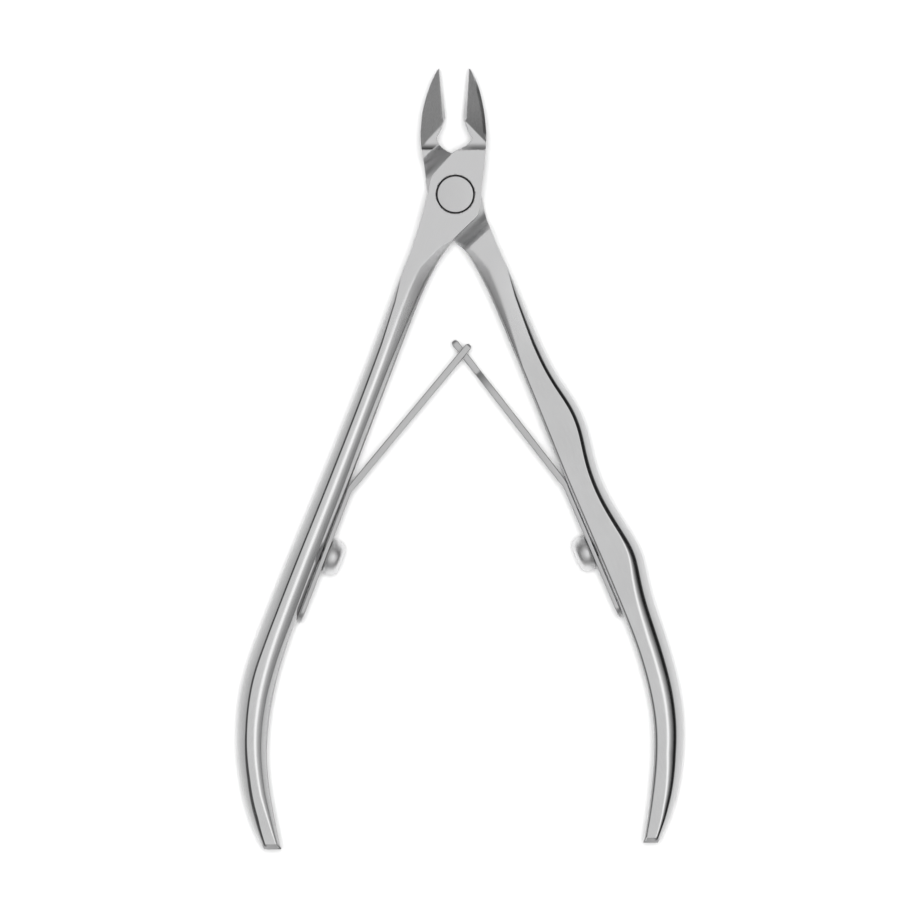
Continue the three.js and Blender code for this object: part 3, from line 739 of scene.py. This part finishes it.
def fill_head(spec, boundary):
    """Fills the head's flat region inside its innermost ring."""
    (left, bottom), (right, top) = boundary.min(0), boundary.max(0)
    grids = []
    for step, low, high in ((HEAD_GRID, bottom, JAW_STEP_START), (JAW_GRID, JAW_STEP_START, top)):
        ys = np.arange(low, high, step * 0.87)
        gx, gy = np.meshgrid(np.arange(left, right, step), ys)
        gx = gx + (np.arange(len(ys)) % 2)[:, None] * step / 2
        grids.append(np.column_stack([gx.ravel(), gy.ravel()]))
    grid = np.vstack(grids)
    grid = grid[signed_distance(*grid.T, boundary) < -0.06]
    lines = feature_lines(spec)
    for line in lines:
        start, run = line[0], line[-1] - line[0]
        t = np.clip(((grid - start) @ run) / (run @ run), 0, 1)
        grid = grid[np.linalg.norm(grid - start - t[:, None] * run, axis=1) > GRID_CLEARANCE]
    radii = sorted({spec["hole_top"], spec["hole_bottom"]})
    for radius in radii:
        grid = grid[np.abs(np.hypot(*grid.T) - radius) > GRID_CLEARANCE]
    grid = grid[np.hypot(*grid.T) > radii[0]]
    points, links = boundary.tolist(), []
    for radius in radii:
        numbers = range(len(points), len(points) + HOLE_STEPS)
        points += circle(radius, HOLE_STEPS).tolist()
        links += zip(numbers, [*numbers[1:], numbers[0]])
    for line in lines:
        keep = signed_distance(*line.T, boundary) < -GRID_CLEARANCE
        keep &= np.hypot(*line.T) > radii[-1] + GRID_CLEARANCE
        linked = keep[:-1] & keep[1:]
        wanted = np.append(linked, False) | np.insert(linked, 0, False)
        numbers = len(points) - 1 + np.cumsum(wanted)
        points += line[wanted].tolist()
        links += zip(numbers[:-1][linked].tolist(), numbers[1:][linked].tolist())
    return fill(boundary, [*points[len(boundary) :], *grid], links, 1e-5)


def ridge_wear_and_highlight(spec, sign, x, y):
    """Lighter, rougher band of the recess wall towards its ridge, on the face that has the recess: partly
    wear, partly painted highlight.
    """
    recessed = sign > 0 if spec is BACK else sign < 0
    short = RECESS_RIDGE - recess_distance(x, y, spec["recess_angle"])
    near = smooth((RIDGE_WEAR_AND_HIGHLIGHT - short) / RIDGE_WEAR_AND_HIGHLIGHT) * smooth((short + 0.2) / 0.15) * (np.hypot(x, y) < 11)
    return near if recessed else np.zeros(np.shape(x))


def step_shade(x, y):
    """Painted shade in the corner at the foot of the jaw's step, fading towards the throat."""
    above = y - JAW_STEP_START
    thinning = 1 - smooth(above / STEP_SHADE_REACH)
    return np.clip(above / JAW_STEP_WALL, 0, 1) * thinning * smooth((np.abs(x) - 1.2) / 1.8)


class Cloud:
    """Points of a mesh gathered in groups, with a ground value, a painted shade value and a value of wear
    with painted highlight each.
    """

    def __init__(self):
        self.points, self.values, self.count = [], [], 0

    def add(self, points, *values):
        """Adds points, with zero for the values left out, and gives their numbers."""
        points = points.reshape(-1, 3)
        filled = np.zeros((3, len(points)))
        for row, value in zip(filled, values):
            row[:] = np.ravel(value)
        self.points.append(points)
        self.values.append(filled)
        self.count += len(points)
        return np.arange(self.count - len(points), self.count)

    def lay(self, points, surface, *values):
        """Adds points seen from the front at a surface's height."""
        height, ground = surface(*points.T)
        return self.add(np.column_stack([points, height]), ground, *values)

    def mesh(self, name, faces, keys=()):
        values = dict(zip(keys, np.hstack(self.values)))
        return make_mesh(name, np.vstack(self.points), faces, values)


def ring_quads(low, high):
    """Quads between two closed rings of point numbers."""
    return list(zip(low, np.roll(low, -1), np.roll(high, -1), high))


def stack_quads(rings):
    return [quad for low, high in zip(rings, rings[1:]) for quad in ring_quads(low, high)]


def handle_faces(cloud, ring, edge, marks, surface):
    """Quads across a handle's flat: (the first row's point numbers, its inner points, faces)."""
    a, b, c, d = marks
    share = (np.arange(1, COLUMNS + 1) / (COLUMNS + 1))[None, :, None]
    inside = ring[a:b, None] * (1 - share) + ring[d:c:-1, None] * share
    middle = cloud.lay(inside.reshape(-1, 2), surface).reshape(ROWS - 1, COLUMNS)
    rows = [[edge[a + j], *body, edge[d - j]] for j, body in enumerate([*middle, edge[b + 1 : c]])]
    faces = [quad for up, low in zip(rows, rows[1:]) for quad in zip(up, low, low[1:], up[1:])]
    return rows[0], inside[0], faces


def head_faces(cloud, spec, sign, surface, boundary, ids):
    """The head's triangles outside the rivet hole, and the point numbers round the hole."""
    points, triangles, sources = fill_head(spec, boundary)
    numbers, fresh = number_fill(sources, ids, cloud.count)
    x, y = points[fresh].T
    cloud.lay(points[fresh], surface, step_shade(x, y), ridge_wear_and_highlight(spec, sign, x, y))
    limit = spec["hole_top" if sign > 0 else "hole_bottom"]
    outside = np.hypot(*points[triangles].mean(axis=1).T) > limit - 1e-4
    on_rim = np.where(np.abs(np.hypot(*points.T) - limit) < 1e-4)[0]
    turn = np.arctan2(points[on_rim, 1], points[on_rim, 0]) % (2 * math.pi)
    return [tuple(numbers[t]) for t in triangles[outside]], numbers[on_rim[np.argsort(turn)]]


def build_half(spec, sides):
    """The closed mesh of one half: edge rings, handle faces, head faces, wall and rivet hole."""
    loop, marks = outline_of(spec, sides)
    a, _, _, d = marks
    bands, crease_shading, worn_and_highlit, jaw_strip_shade = edge_sizes(spec, loop, marks)
    ring = np.arange(RINGS)[:, None]
    # Painted shade: a band about the crease ring, and the jaw strip's painted shade over the middle rings.
    crease_shade = crease_shading * np.exp(-(((ring - CREASE_RING - 2) / 2.0) ** 2))
    crease_shade = np.maximum(crease_shade, jaw_strip_shade * ((ring > 2) & (ring < CREASE_RING + 6)))
    # Lighter, rougher rings near the wall: partly wear, partly painted highlight.
    worn_and_highlit = worn_and_highlit * (1 - smooth((ring - RINGS + 4) / 3)) * (ring > 0)
    cloud = Cloud()
    faces, walls, rims = [], [], []
    for sign, surface in ((1, spec["top"]), (-1, spec["bottom"])):
        rings, ground = ring_points(spec, loop, marks, bands, surface, sign)
        x, y = rings[..., 0], rings[..., 1]
        # Painted shade of the crease, jaw strip and step foot; wear with painted highlight on the edges and
        # the recess ridge.
        dark = np.maximum(crease_shade, step_shade(x, y) * (ring > 2))
        wear_and_highlight = np.maximum(worn_and_highlit, ridge_wear_and_highlight(spec, sign, x, y))
        numbers = cloud.add(rings, ground, dark, wear_and_highlight).reshape(RINGS, -1)
        inner, edge = rings[-1, :, :2], numbers[-1]
        row, row_points, quads = handle_faces(cloud, inner, edge, marks, surface)
        boundary = np.vstack([inner[: a + 1], row_points, inner[d:]])
        ids = [*edge[: a + 1], *row[1:-1], *edge[d:]]
        triangles, rim = head_faces(cloud, spec, sign, surface, boundary, ids)
        shell = [*stack_quads(numbers), *quads, *triangles]
        faces += shell if sign > 0 else [f[::-1] for f in shell]
        walls.append(numbers[0])
        rims.append(rim)
    hole = []
    for radius, z in spec["hole"]:
        hole.append(cloud.add(np.column_stack([circle(radius, HOLE_STEPS), np.full(HOLE_STEPS, z)])))
    faces += ring_quads(walls[1], walls[0]) + stack_quads([rims[0], *hole, rims[1]])
    return cloud.mesh(spec["name"] + "_steel", faces, ("ground", "crease_shade", "wear_and_highlight"))


back_loop, _ = outline_of(BACK, back_sides())
back_half = build_half(BACK, back_sides())
front_half = build_half(FRONT, front_sides())


# ---- springs, screws and rivet ----


def lathe(profile, steps):
    """A closed surface of revolution about Z whose profile [(radius, height)] runs from axis to axis."""
    verts = [(0, 0, profile[0][1])]
    for radius, height in profile[1:-1]:
        verts += [(x, y, height) for x, y in circle(radius, steps)]
    verts.append((0, 0, profile[-1][1]))
    rings = np.arange(1, len(verts) - 1).reshape(-1, steps)
    faces = [(0, b, a) for a, b in zip(rings[0], np.roll(rings[0], -1))]
    faces += stack_quads(rings)
    faces += [(len(verts) - 1, a, b) for a, b in zip(rings[-1], np.roll(rings[-1], -1))]
    return np.array(verts), faces


def bezier(a, b, c, steps=10):
    t = np.linspace(0, 1, steps + 1)[1:, None]
    a, b, c = (np.array(p, float) for p in (a, b, c))
    return ((1 - t) ** 2 * a + 2 * t * (1 - t) * b + t * t * c).tolist()


def build_rivet():
    edge, dome = 0.14, 0.04
    seat = JOINT_THICKNESS - RIVET_HEAD_HEIGHT
    profile = [(0, 0), (1.2, 0), (RIVET_TAIL_RADIUS - 0.1, 0)]
    profile += bezier(profile[-1], (RIVET_TAIL_RADIUS, 0), (RIVET_TAIL_RADIUS - 0.04, 0.08), 4)
    profile += [(RIVET_SHANK_RADIUS, RIVET_TAIL_HEIGHT), (RIVET_SHANK_RADIUS, seat)]
    profile += [(RIVET_HEAD_RADIUS - 0.06, seat), (RIVET_HEAD_RADIUS, seat + 0.06)]
    rim = (RIVET_HEAD_RADIUS, JOINT_THICKNESS - dome - edge)
    profile.append(rim)
    face = JOINT_THICKNESS - dome
    profile += bezier(rim, (RIVET_HEAD_RADIUS, face), (RIVET_HEAD_RADIUS - edge, face), 6)
    for share in (0.8, 0.6, 0.4, 0.2):
        profile.append((RIVET_HEAD_RADIUS * share, JOINT_THICKNESS - dome * share**2))
    profile.append((0, JOINT_THICKNESS))
    return make_mesh("pivot_rivet_steel", *lathe(profile, 96))


def seat_frame(spec):
    """Maps (towards the gap, up the handle, z) in a spring's seat frame to the part's frame."""
    across = np.array([*rotated(1, 0, spec["tilt"]), 0]) * spec["side"]
    up = np.array([*rotated(0, 1, spec["tilt"]), 0])
    origin = np.array([*spec["seat"], MID])

    def place(points):
        points = np.asarray(points, float)
        return origin + points[:, :1] * across + points[:, 1:2] * up + points[:, 2:] * (0, 0, 1)

    return place


def build_screw(spec, name):
    seat = FOOT_GAP + FOOT_THICKNESS + SEAT_GAP
    top = seat + SCREW_HEAD_HEIGHT
    radius = SCREW_HEAD_RADIUS
    profile = [(0, -SCREW_SHANK_DEPTH), (SCREW_SHANK_RADIUS - 0.3, -SCREW_SHANK_DEPTH)]
    profile += [(SCREW_SHANK_RADIUS, 0.3 - SCREW_SHANK_DEPTH), (SCREW_SHANK_RADIUS, seat)]
    profile.append((radius - 0.5, seat))
    profile += bezier(profile[-1], (radius - 0.1, seat), (radius - 0.06, seat + 0.35), 6)
    profile += bezier(profile[-1], (radius + 0.04, seat + 0.8), (radius - 0.1, seat + 1.3), 10)
    profile += bezier(profile[-1], (radius - 0.28, seat + 2.1), (1.7, top - 0.07), 14)
    profile += bezier(profile[-1], (1.0, top), (0.05, top), 8)
    profile.append((0, top))
    verts, faces = lathe(profile, 72)
    turned = np.stack([verts[:, 2], verts[:, 0], verts[:, 1]], axis=1)
    if spec["side"] < 0:
        faces = [tuple(reversed(f)) for f in faces]
    return make_mesh(name, seat_frame(spec)(turned), faces)


def arc(centre, radius, start, end, count):
    """Points of an arc between two angles in degrees."""
    turns = np.radians(np.linspace(start, end, count))
    return [(centre[0] + radius * math.cos(t), centre[1] + radius * math.sin(t)) for t in turns]


def leaf_loop(spec, forked):
    """Outline of a spring laid flat: (along it from the screw, across it), anticlockwise."""
    half, tip = SPRING_WIDTH / 2, SPRING_TIP_WIDTH / 2
    slot, tongue = FORK_SLOT_WIDTH / 2, TONGUE_WIDTH / 2
    end = spec["bend"] + spec["arm_length"]
    neck = end - INTERLOCK_LENGTH
    if forked:
        prong, centre = (tip - slot) / 2, (tip + slot) / 2
        lower, upper = (arc((end - prong, w), prong, -90, 90, 9) for w in (-centre, centre))
        nose = [*lower, *arc((neck, 0), slot, -90, -270, 13), *upper]
    else:
        ease = bezier((neck - NECK, -tip), (neck - 0.4 * NECK, -tip), (neck + 0.4, -tongue), 12)
        lower = [(neck - NECK, -tip), *ease]
        upper = [(s, -w) for s, w in lower[::-1]]
        nose = [*lower, *arc((end - tongue, 0), tongue, -90, 90, 13), *upper]
    tail = arc((half - FOOT_TAIL, 0), half, 90, 270, 24)
    closed = [tail[-1], (spec["bend"], -half), *nose, (spec["bend"], half), *tail]
    return resample(np.array(closed), LEAF_STEP)[:-1]


def leaf_thickness(spec, s):
    """Thickness along a leaf, which grows past the bend and rounds off at both ends."""
    full = FOOT_THICKNESS + (ARM_THICKNESS - FOOT_THICKNESS) * smooth((s - spec["bend"] + 1.5) / 3)
    tip = np.clip((s - spec["bend"] - spec["arm_length"] + TIP_ROUNDING) / TIP_ROUNDING, 0, 1)
    tail = np.clip((TIP_ROUNDING - FOOT_TAIL - s) / TIP_ROUNDING, 0, 1)
    return full * (1 - 0.56 * tip**2 - 0.38 * tail**2)


def leaf_place(spec):
    """Maps (along the leaf, across it, off its middle) to the part's frame."""
    angle = math.radians(spec["arm_angle"])
    reach = BEND_RADIUS * math.tan(angle / 2)
    start = spec["bend"] - reach
    arc = BEND_RADIUS * angle
    middle = FOOT_GAP + FOOT_THICKNESS / 2
    to_frame = seat_frame(spec)

    def place(s, w, h):
        turn = np.clip((s - start) / arc, 0, 1) * angle
        past = np.clip(s - start - arc, 0, None)
        x = middle + BEND_RADIUS * (1 - np.cos(turn)) + past * np.sin(turn)
        y = np.minimum(s, start) + BEND_RADIUS * np.sin(turn) + past * np.cos(turn)
        return to_frame(np.stack([x + h * np.cos(turn), y - h * np.sin(turn), w], axis=1))

    return place


def build_leaf(spec, forked, name):
    """A leaf spring as one bent strip with rounded edges."""
    loop = leaf_loop(spec, forked)
    phi = np.linspace(math.pi / 2, 0, LEAF_RINGS)
    inset, drop = LEAF_EDGE * (1 - np.sin(phi)), LEAF_EDGE * (1 - np.cos(phi))
    rings = loop - loop_normals(loop) * inset[:, None, None]
    inner = rings[-1]
    (left, low), (right, high) = inner.min(0), inner.max(0)
    gx, gy = np.meshgrid(np.arange(left, right, LEAF_GRID), np.linspace(low, high, 13))
    grid = np.column_stack([gx.ravel(), gy.ravel()])
    grid = grid[signed_distance(*grid.T, inner) < -0.12]
    points, triangles, sources = fill(inner, grid, [], 1e-6)
    place = leaf_place(spec)
    cloud = Cloud()
    faces, walls = [], []
    for sign in (1, -1):
        numbers = []
        for (s, w), fall in zip(rings.transpose(0, 2, 1), drop):
            numbers.append(cloud.add(place(s, w, sign * (leaf_thickness(spec, s) / 2 - fall))))
        filled, fresh = number_fill(sources, numbers[-1], cloud.count)
        s, w = points[fresh].T
        cloud.add(place(s, w, sign * leaf_thickness(spec, s) / 2))
        shell = [*stack_quads(numbers), *(tuple(filled[t]) for t in triangles)]
        faces += shell if sign > 0 else [f[::-1] for f in shell]
        walls.append(numbers[0])
    faces += ring_quads(walls[1], walls[0])
    return cloud.mesh(name, faces if spec["side"] > 0 else [f[::-1] for f in faces])


rivet = build_rivet()
left_screw = build_screw(LEFT_SPRING, "left_spring_screw_steel")
right_screw = build_screw(RIGHT_SPRING, "right_spring_screw_steel")
left_spring = build_leaf(LEFT_SPRING, True, "left_spring_steel")
right_spring = build_leaf(RIGHT_SPRING, False, "right_spring_steel")

# ---- materials ----


class Nodes:
    """Short calls for building a node tree."""

    def __init__(self, tree):
        self.tree = tree
        tree.nodes.clear()

    def add(self, kind, settings={}, numbered={}, **named):
        """A node with its settings and its inputs, given by number or by name."""
        made = self.tree.nodes.new(kind)
        for key, value in settings.items():
            setattr(made, key, value)
        inputs = {**numbered, **{key.replace("_", " "): value for key, value in named.items()}}
        for key, value in inputs.items():
            if isinstance(value, bpy.types.NodeSocket):
                self.tree.links.new(value, made.inputs[key])
            else:
                made.inputs[key].default_value = value
        return made

    def math(self, operation, a, b=0.0):
        return self.add("ShaderNodeMath", {"operation": operation}, {0: a, 1: b}).outputs[0]

    def plus(self, a, b):
        return self.math("ADD", a, b)

    def times(self, a, b):
        return self.math("MULTIPLY", a, b)

    def shift(self, value, mask, amount):
        """The value, changed by an amount where the mask is one."""
        return self.plus(value, self.times(mask, amount))

    def remap(self, value, low, high, to_low=0.0, to_high=1.0):
        """The value's smooth step from low to high, between two other ends."""
        settings = {"interpolation_type": "SMOOTHSTEP", "clamp": True}
        inputs = dict(enumerate((value, low, high, to_low, to_high)))
        return self.add("ShaderNodeMapRange", settings, inputs).outputs[0]

    def mix(self, factor, a, b):
        """A number between a and b."""
        return self.add("ShaderNodeMix", {"data_type": "FLOAT"}, {0: factor, 2: a, 3: b}).outputs[0]

    def blend(self, factor, a, b):
        """A colour between a and b."""
        return self.add("ShaderNodeMix", {"data_type": "RGBA"}, {0: factor, 6: a, 7: b}).outputs[2]

    def place(self, angle, along, across):
        """Coordinates in millimetres, turned so that their Y runs at angle from +Y, then scaled."""
        place = self.add("ShaderNodeTexCoord").outputs["Object"]
        settings = {"rotation_type": "Z_AXIS"}
        turned = self.add("ShaderNodeVectorRotate", settings, Vector=place, Angle=-math.radians(angle))
        scale = (across / MM, along / MM, across / MM)
        multiply = {"operation": "MULTIPLY"}
        return self.add("ShaderNodeVectorMath", multiply, {0: turned.outputs[0], 1: scale}).outputs[0]

    def noise(self, angle, along, across, detail=3.0, roughness=0.55):
        """Noise with so many cells per millimetre along and across a direction."""
        place = self.place(angle, along, across)
        inputs = dict(Vector=place, Scale=1.0, Detail=detail, Roughness=roughness)
        return self.add("ShaderNodeTexNoise", **inputs).outputs["Fac"]

    def attribute(self, name):
        return self.add("ShaderNodeAttribute", {"attribute_name": name}).outputs["Fac"]


def new_material(name):
    material = bpy.data.materials.new(name)
    material.use_nodes = True
    return material, Nodes(material.node_tree)


def steel_base(nodes, fine, tone, spread, rough):
    """Tone and roughness shared by every steel: broad clouds and fine brushing."""
    broad = nodes.noise(0, 0.12, 0.12)
    clouds = nodes.remap(broad, 0.3, 0.7, -spread, spread)
    tone = nodes.plus(tone, nodes.plus(clouds, nodes.remap(fine, 0.25, 0.75, -spread, spread)))
    rough = nodes.plus(rough, nodes.remap(fine, 0.3, 0.7, -0.03, 0.05))
    return tone, nodes.plus(rough, nodes.remap(broad, 0.35, 0.7, -0.01, 0.03))


def brushing(nodes, angle, along, across):
    return nodes.noise(angle, along, across, detail=4.0, roughness=0.6)


def finish_steel(nodes, tone, rough, height, bump_height):
    """The steel's shader from its tone, roughness and height, whose bump is in millimetres."""
    colour = nodes.add("ShaderNodeCombineColor", Red=tone, Green=tone, Blue=nodes.times(tone, 1.005))
    bump = nodes.add("ShaderNodeBump", Strength=1.0, Distance=bump_height * MM, Height=height)
    inputs = dict(Base_Color=colour.outputs[0], Metallic=1.0, Roughness=rough, Normal=bump.outputs[0])
    shader = nodes.add("ShaderNodeBsdfPrincipled", **inputs)
    nodes.add("ShaderNodeOutputMaterial", Surface=shader.outputs[0])


def scratched(nodes, tone, rough, angle, density, amount):
    """Tone, roughness and mask of thin, sparse, long scratches on a surface."""
    line = nodes.noise(angle, 0.12, density, detail=2.0, roughness=0.4)
    gate = nodes.noise(angle, 0.3, 0.4, detail=1.0)
    thin = nodes.remap(nodes.math("ABSOLUTE", nodes.plus(line, -0.5)), 0.0, 0.012, 1.0, 0.0)
    mask = nodes.times(nodes.times(thin, nodes.remap(gate, 0.56, 0.68)), amount)
    return nodes.shift(tone, mask, 0.05), nodes.shift(rough, mask, 0.1), mask


def half_material(name, handle_angle, jaw_angle, ground_tone, heel_shade, crease_shade_depth):
    """Forged steel: satin head, polished handle, fine-ground jaw facets, painted shade along the crease by
    the rim, along the jaw's back strip and at the foot of the jaw's step, and lighter edges that are partly
    wear and partly painted highlight.
    """
    material, nodes = new_material(name)
    position = nodes.add("ShaderNodeTexCoord").outputs["Object"]
    y = nodes.add("ShaderNodeSeparateXYZ", Vector=position).outputs["Y"]
    polish = nodes.remap(y, -30 * MM, -9 * MM, 1.0, 0.0)
    ground, crease_shade, worn_and_highlit = (nodes.attribute(key) for key in ("ground", "crease_shade", "wear_and_highlight"))
    fine = brushing(nodes, handle_angle, 0.5, 9.0)
    tone, rough = steel_base(nodes, fine, tone=0.68, spread=0.012, rough=0.36)
    tone = nodes.mix(polish, tone, nodes.plus(tone, -0.05))
    rough = nodes.mix(polish, rough, nodes.plus(rough, -0.23))
    grinding = nodes.noise(jaw_angle, 0.35, 12.0, detail=5.0, roughness=0.65)
    ground_value = nodes.plus(ground_tone, nodes.remap(grinding, 0.3, 0.7, -0.06, 0.06))
    ground_value = nodes.times(ground_value, nodes.remap(y, 8 * MM, 15 * MM, heel_shade, 1.0))
    tone = nodes.mix(ground, tone, ground_value)
    rough = nodes.mix(ground, rough, nodes.remap(grinding, 0.3, 0.7, 0.3, 0.42))
    tone, rough, scratch = scratched(nodes, tone, rough, handle_angle, 5.0, 0.6)
    # Painted shade: darker where the crease value is set.
    tone = nodes.times(tone, nodes.shift(1.0, crease_shade, -crease_shade_depth))
    rough = nodes.shift(rough, crease_shade, 0.1)
    # Lighter and rougher where worn: partly wear, partly painted highlight.
    rubbed_and_highlit = nodes.times(worn_and_highlit, nodes.remap(nodes.noise(0, 1.3, 1.3), 0.3, 0.6, 0.55, 1.0))
    tone = nodes.mix(rubbed_and_highlit, tone, 1.0)
    rough = nodes.mix(rubbed_and_highlit, rough, 0.6)
    head_height = nodes.shift(nodes.times(fine, 0.12), nodes.noise(0, 5.0, 5.0, detail=2.0), 0.08)
    height = nodes.mix(polish, head_height, nodes.times(fine, 0.16))
    height = nodes.mix(ground, height, nodes.times(grinding, 2.0))
    finish_steel(nodes, tone, rough, nodes.shift(height, scratch, -0.04), 0.0035)
    return material


def plain_steel(name, angle, tone, rough, along, across, bump_height):
    """Steel with one brushing direction, as on the springs and screws."""
    material, nodes = new_material(name)
    fine = brushing(nodes, angle, along, across)
    tone, rough = steel_base(nodes, fine, tone, 0.02, rough)
    tone, rough, scratch = scratched(nodes, tone, rough, angle, 6.0, 0.7)
    finish_steel(nodes, tone, rough, nodes.shift(fine, scratch, -0.4), bump_height)
    return material


def rivet_material():
    """Satin rivet head: faint lapping lines and turned rings."""
    material, nodes = new_material("rivet_satin_steel")
    fine = brushing(nodes, 20, 0.6, 10.0)
    tone, rough = steel_base(nodes, fine, tone=0.66, spread=0.015, rough=0.36)
    settings = {"wave_type": "RINGS", "rings_direction": "Z"}
    inputs = dict(Vector=nodes.place(0, 1.0, 1.0), Scale=3.2, Distortion=0.6, Detail=2.0)
    rings = nodes.add("ShaderNodeTexWave", settings, **inputs)
    finish_steel(nodes, tone, rough, nodes.shift(fine, rings.outputs["Fac"], 0.35), 0.003)
    return material


def leaf_steel(name, spec):
    angle = spec["tilt"] - spec["side"] * spec["arm_angle"]
    return plain_steel(name, angle, tone=0.56, rough=0.33, along=0.5, across=8.0, bump_height=0.003)


def screw_steel(name, spec):
    return plain_steel(name, spec["tilt"], tone=0.74, rough=0.38, along=3.0, across=7.0, bump_height=0.002)


# The last number of each half's material is the depth of its painted crease shade.
for piece, material in (
    (front_half, half_material("left_handle_steel", -22, RIGHT_EDGE_ANGLE, 0.48, 0.72, 0.5)),
    (back_half, half_material("right_handle_steel", 22, LEFT_EDGE_ANGLE, 0.60, 0.94, 0.85)),
    (rivet, rivet_material()),
    (left_spring, leaf_steel("left_leaf_steel", LEFT_SPRING)),
    (right_spring, leaf_steel("right_leaf_steel", RIGHT_SPRING)),
    (left_screw, screw_steel("left_screw_steel", LEFT_SPRING)),
    (right_screw, screw_steel("right_screw_steel", RIGHT_SPRING)),
):
    piece.data.materials.append(material)

# ---- what stands for what ----

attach(front_half, "front")
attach(back_half, "back")
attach(rivet, "back")
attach(left_screw, "front")
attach(right_screw, "back")


def bend_span(spec):
    """The two ends of a spring's bend in metres."""
    place = leaf_place(spec)
    ends = np.array([spec["bend"] - BEND_REACH, spec["bend"] + BEND_REACH])
    return [tuple(p * MM) for p in place(ends, np.zeros(2), np.zeros(2))]


for leaf, spec, handle_body, arm_body in (
    (left_spring, LEFT_SPRING, "front", "left_arm"),
    (right_spring, RIGHT_SPRING, "back", "right_arm"),
):
    start, end = bend_span(spec)
    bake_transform(leaf)

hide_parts("front_half")
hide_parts("back_half")
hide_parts("pivot_rivet")
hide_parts("left_spring_foot", "left_spring_arm")
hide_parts("right_spring_foot", "right_spring_arm")
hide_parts("left_spring_screw")
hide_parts("right_spring_screw")

# ---- stage, light and camera ----

FLOOR_WIDTH = 6000
FLOOR_TONES = (0.735, 0.75)
FILL_POWER = 28
FILL_SIZE = 0.6
FILL_HEIGHT = 1.6
VIEW_CENTRE = (-0.8, -38.3)
VIEW_WIDTH = 135
VIEW_PLANE = 4.5
CAMERA_HEIGHT = 1100


def build_floor():
    """A wide pale floor under the tool."""
    half = FLOOR_WIDTH * MM / 2
    mesh = bpy.data.meshes.new("floor")
    corners = [(-half, -half, 0), (half, -half, 0), (half, half, 0), (-half, half, 0)]
    mesh.from_pydata(corners, [], [(0, 1, 2, 3)])
    floor = new_object("floor", mesh)
    material, nodes = new_material("pale_floor")
    tone = nodes.remap(nodes.noise(0, 0.01, 0.01), 0.3, 0.7, *FLOOR_TONES)
    colour = nodes.add("ShaderNodeCombineColor", Red=tone, Green=tone, Blue=tone)
    shader = nodes.add("ShaderNodeBsdfPrincipled", Base_Color=colour.outputs[0], Roughness=0.9)
    shader.inputs["Specular IOR Level"].default_value = 0.0
    nodes.add("ShaderNodeOutputMaterial", Surface=shader.outputs[0])
    mesh.materials.append(material)


# Brightness of the studio by the sine of the height above the horizon, towards +X and
# towards -X: pale walls, a dark band, the softbox, whose right rim is a brighter strip. Towards
# the jaws and the handles' ends the band is only grey.
STUDIO_RIGHT = [
    (0.0, 1.05), (0.105, 0.85), (0.24, 0.26), (0.407, 0.04), (0.669, 0.06), (0.766, 0.34),
    (0.866, 0.85), (0.914, 1.45), (0.961, 1.45), (0.985, 0.88), (1.0, 0.84),
]
STUDIO_LEFT = [
    (0.0, 0.85), (0.174, 0.52), (0.375, 0.14), (0.72, 0.17), (0.848, 0.5), (0.94, 0.8),
    (0.985, 0.88), (1.0, 0.84),
]
STUDIO_ENDS = [
    (0.0, 0.85), (0.2, 0.6), (0.34, 0.36), (0.46, 0.14), (0.6, 0.3), (0.72, 0.4), (0.848, 0.6), (0.94, 0.8),
    (0.985, 0.88), (1.0, 0.84),
]
STUDIO_TOP = 1.8


def studio_ramp(nodes, height, stops):
    ramp = nodes.add("ShaderNodeValToRGB", Fac=height)
    ramp.color_ramp.interpolation = "EASE"
    made = ramp.color_ramp.elements
    while len(made) > 1:
        made.remove(made[-1])
    for k, (at, value) in enumerate(stops):
        stop = made[0] if k == 0 else made.new(at)
        stop.position = at
        stop.color = (value / STUDIO_TOP,) * 3 + (1,)
    return ramp.outputs["Color"]


def build_world():
    world = bpy.data.worlds.new("studio")
    bpy.context.scene.world = world
    world.use_nodes = True
    nodes = Nodes(world.node_tree)
    direction = nodes.add("ShaderNodeTexCoord").outputs["Generated"]
    split = nodes.add("ShaderNodeSeparateXYZ", Vector=direction)
    side = nodes.remap(split.outputs["X"], -0.25, 0.25)
    walls = (STUDIO_LEFT, STUDIO_RIGHT, STUDIO_ENDS)
    left, right, ends = (studio_ramp(nodes, split.outputs["Z"], stops) for stops in walls)
    across, along = (nodes.math("ABSOLUTE", split.outputs[axis]) for axis in "XY")
    lengthwise = nodes.remap(nodes.math("SUBTRACT", along, across), 0.05, 0.4)
    shown = nodes.blend(lengthwise, nodes.blend(side, left, right), ends)
    background = nodes.add("ShaderNodeBackground", Color=shown, Strength=STUDIO_TOP)
    nodes.add("ShaderNodeOutputWorld", Surface=background.outputs[0])


def build_lights():
    """A broad lamp that brightens the floor and has no reflection of its own in the steel."""
    data = bpy.data.lights.new("floor_fill", "AREA")
    data.shape, data.size, data.energy = "DISK", FILL_SIZE, FILL_POWER
    lamp = new_object("floor_fill", data)
    lamp.location = (0, 0, FILL_HEIGHT)
    lamp.visible_glossy = False


def build_camera():
    data = bpy.data.cameras.new("camera")
    data.sensor_width = 36
    data.lens = data.sensor_width * (CAMERA_HEIGHT - VIEW_PLANE) / VIEW_WIDTH
    data.clip_start, data.clip_end = 0.05, 20
    camera = new_object("camera", data)
    camera.location = (VIEW_CENTRE[0] * MM, VIEW_CENTRE[1] * MM, CAMERA_HEIGHT * MM)
    bpy.context.scene.camera = camera


build_floor()
build_world()
build_lights()
build_camera()
bpy.context.scene.view_settings.view_transform = "Standard"

bpy.context.view_layer.update()
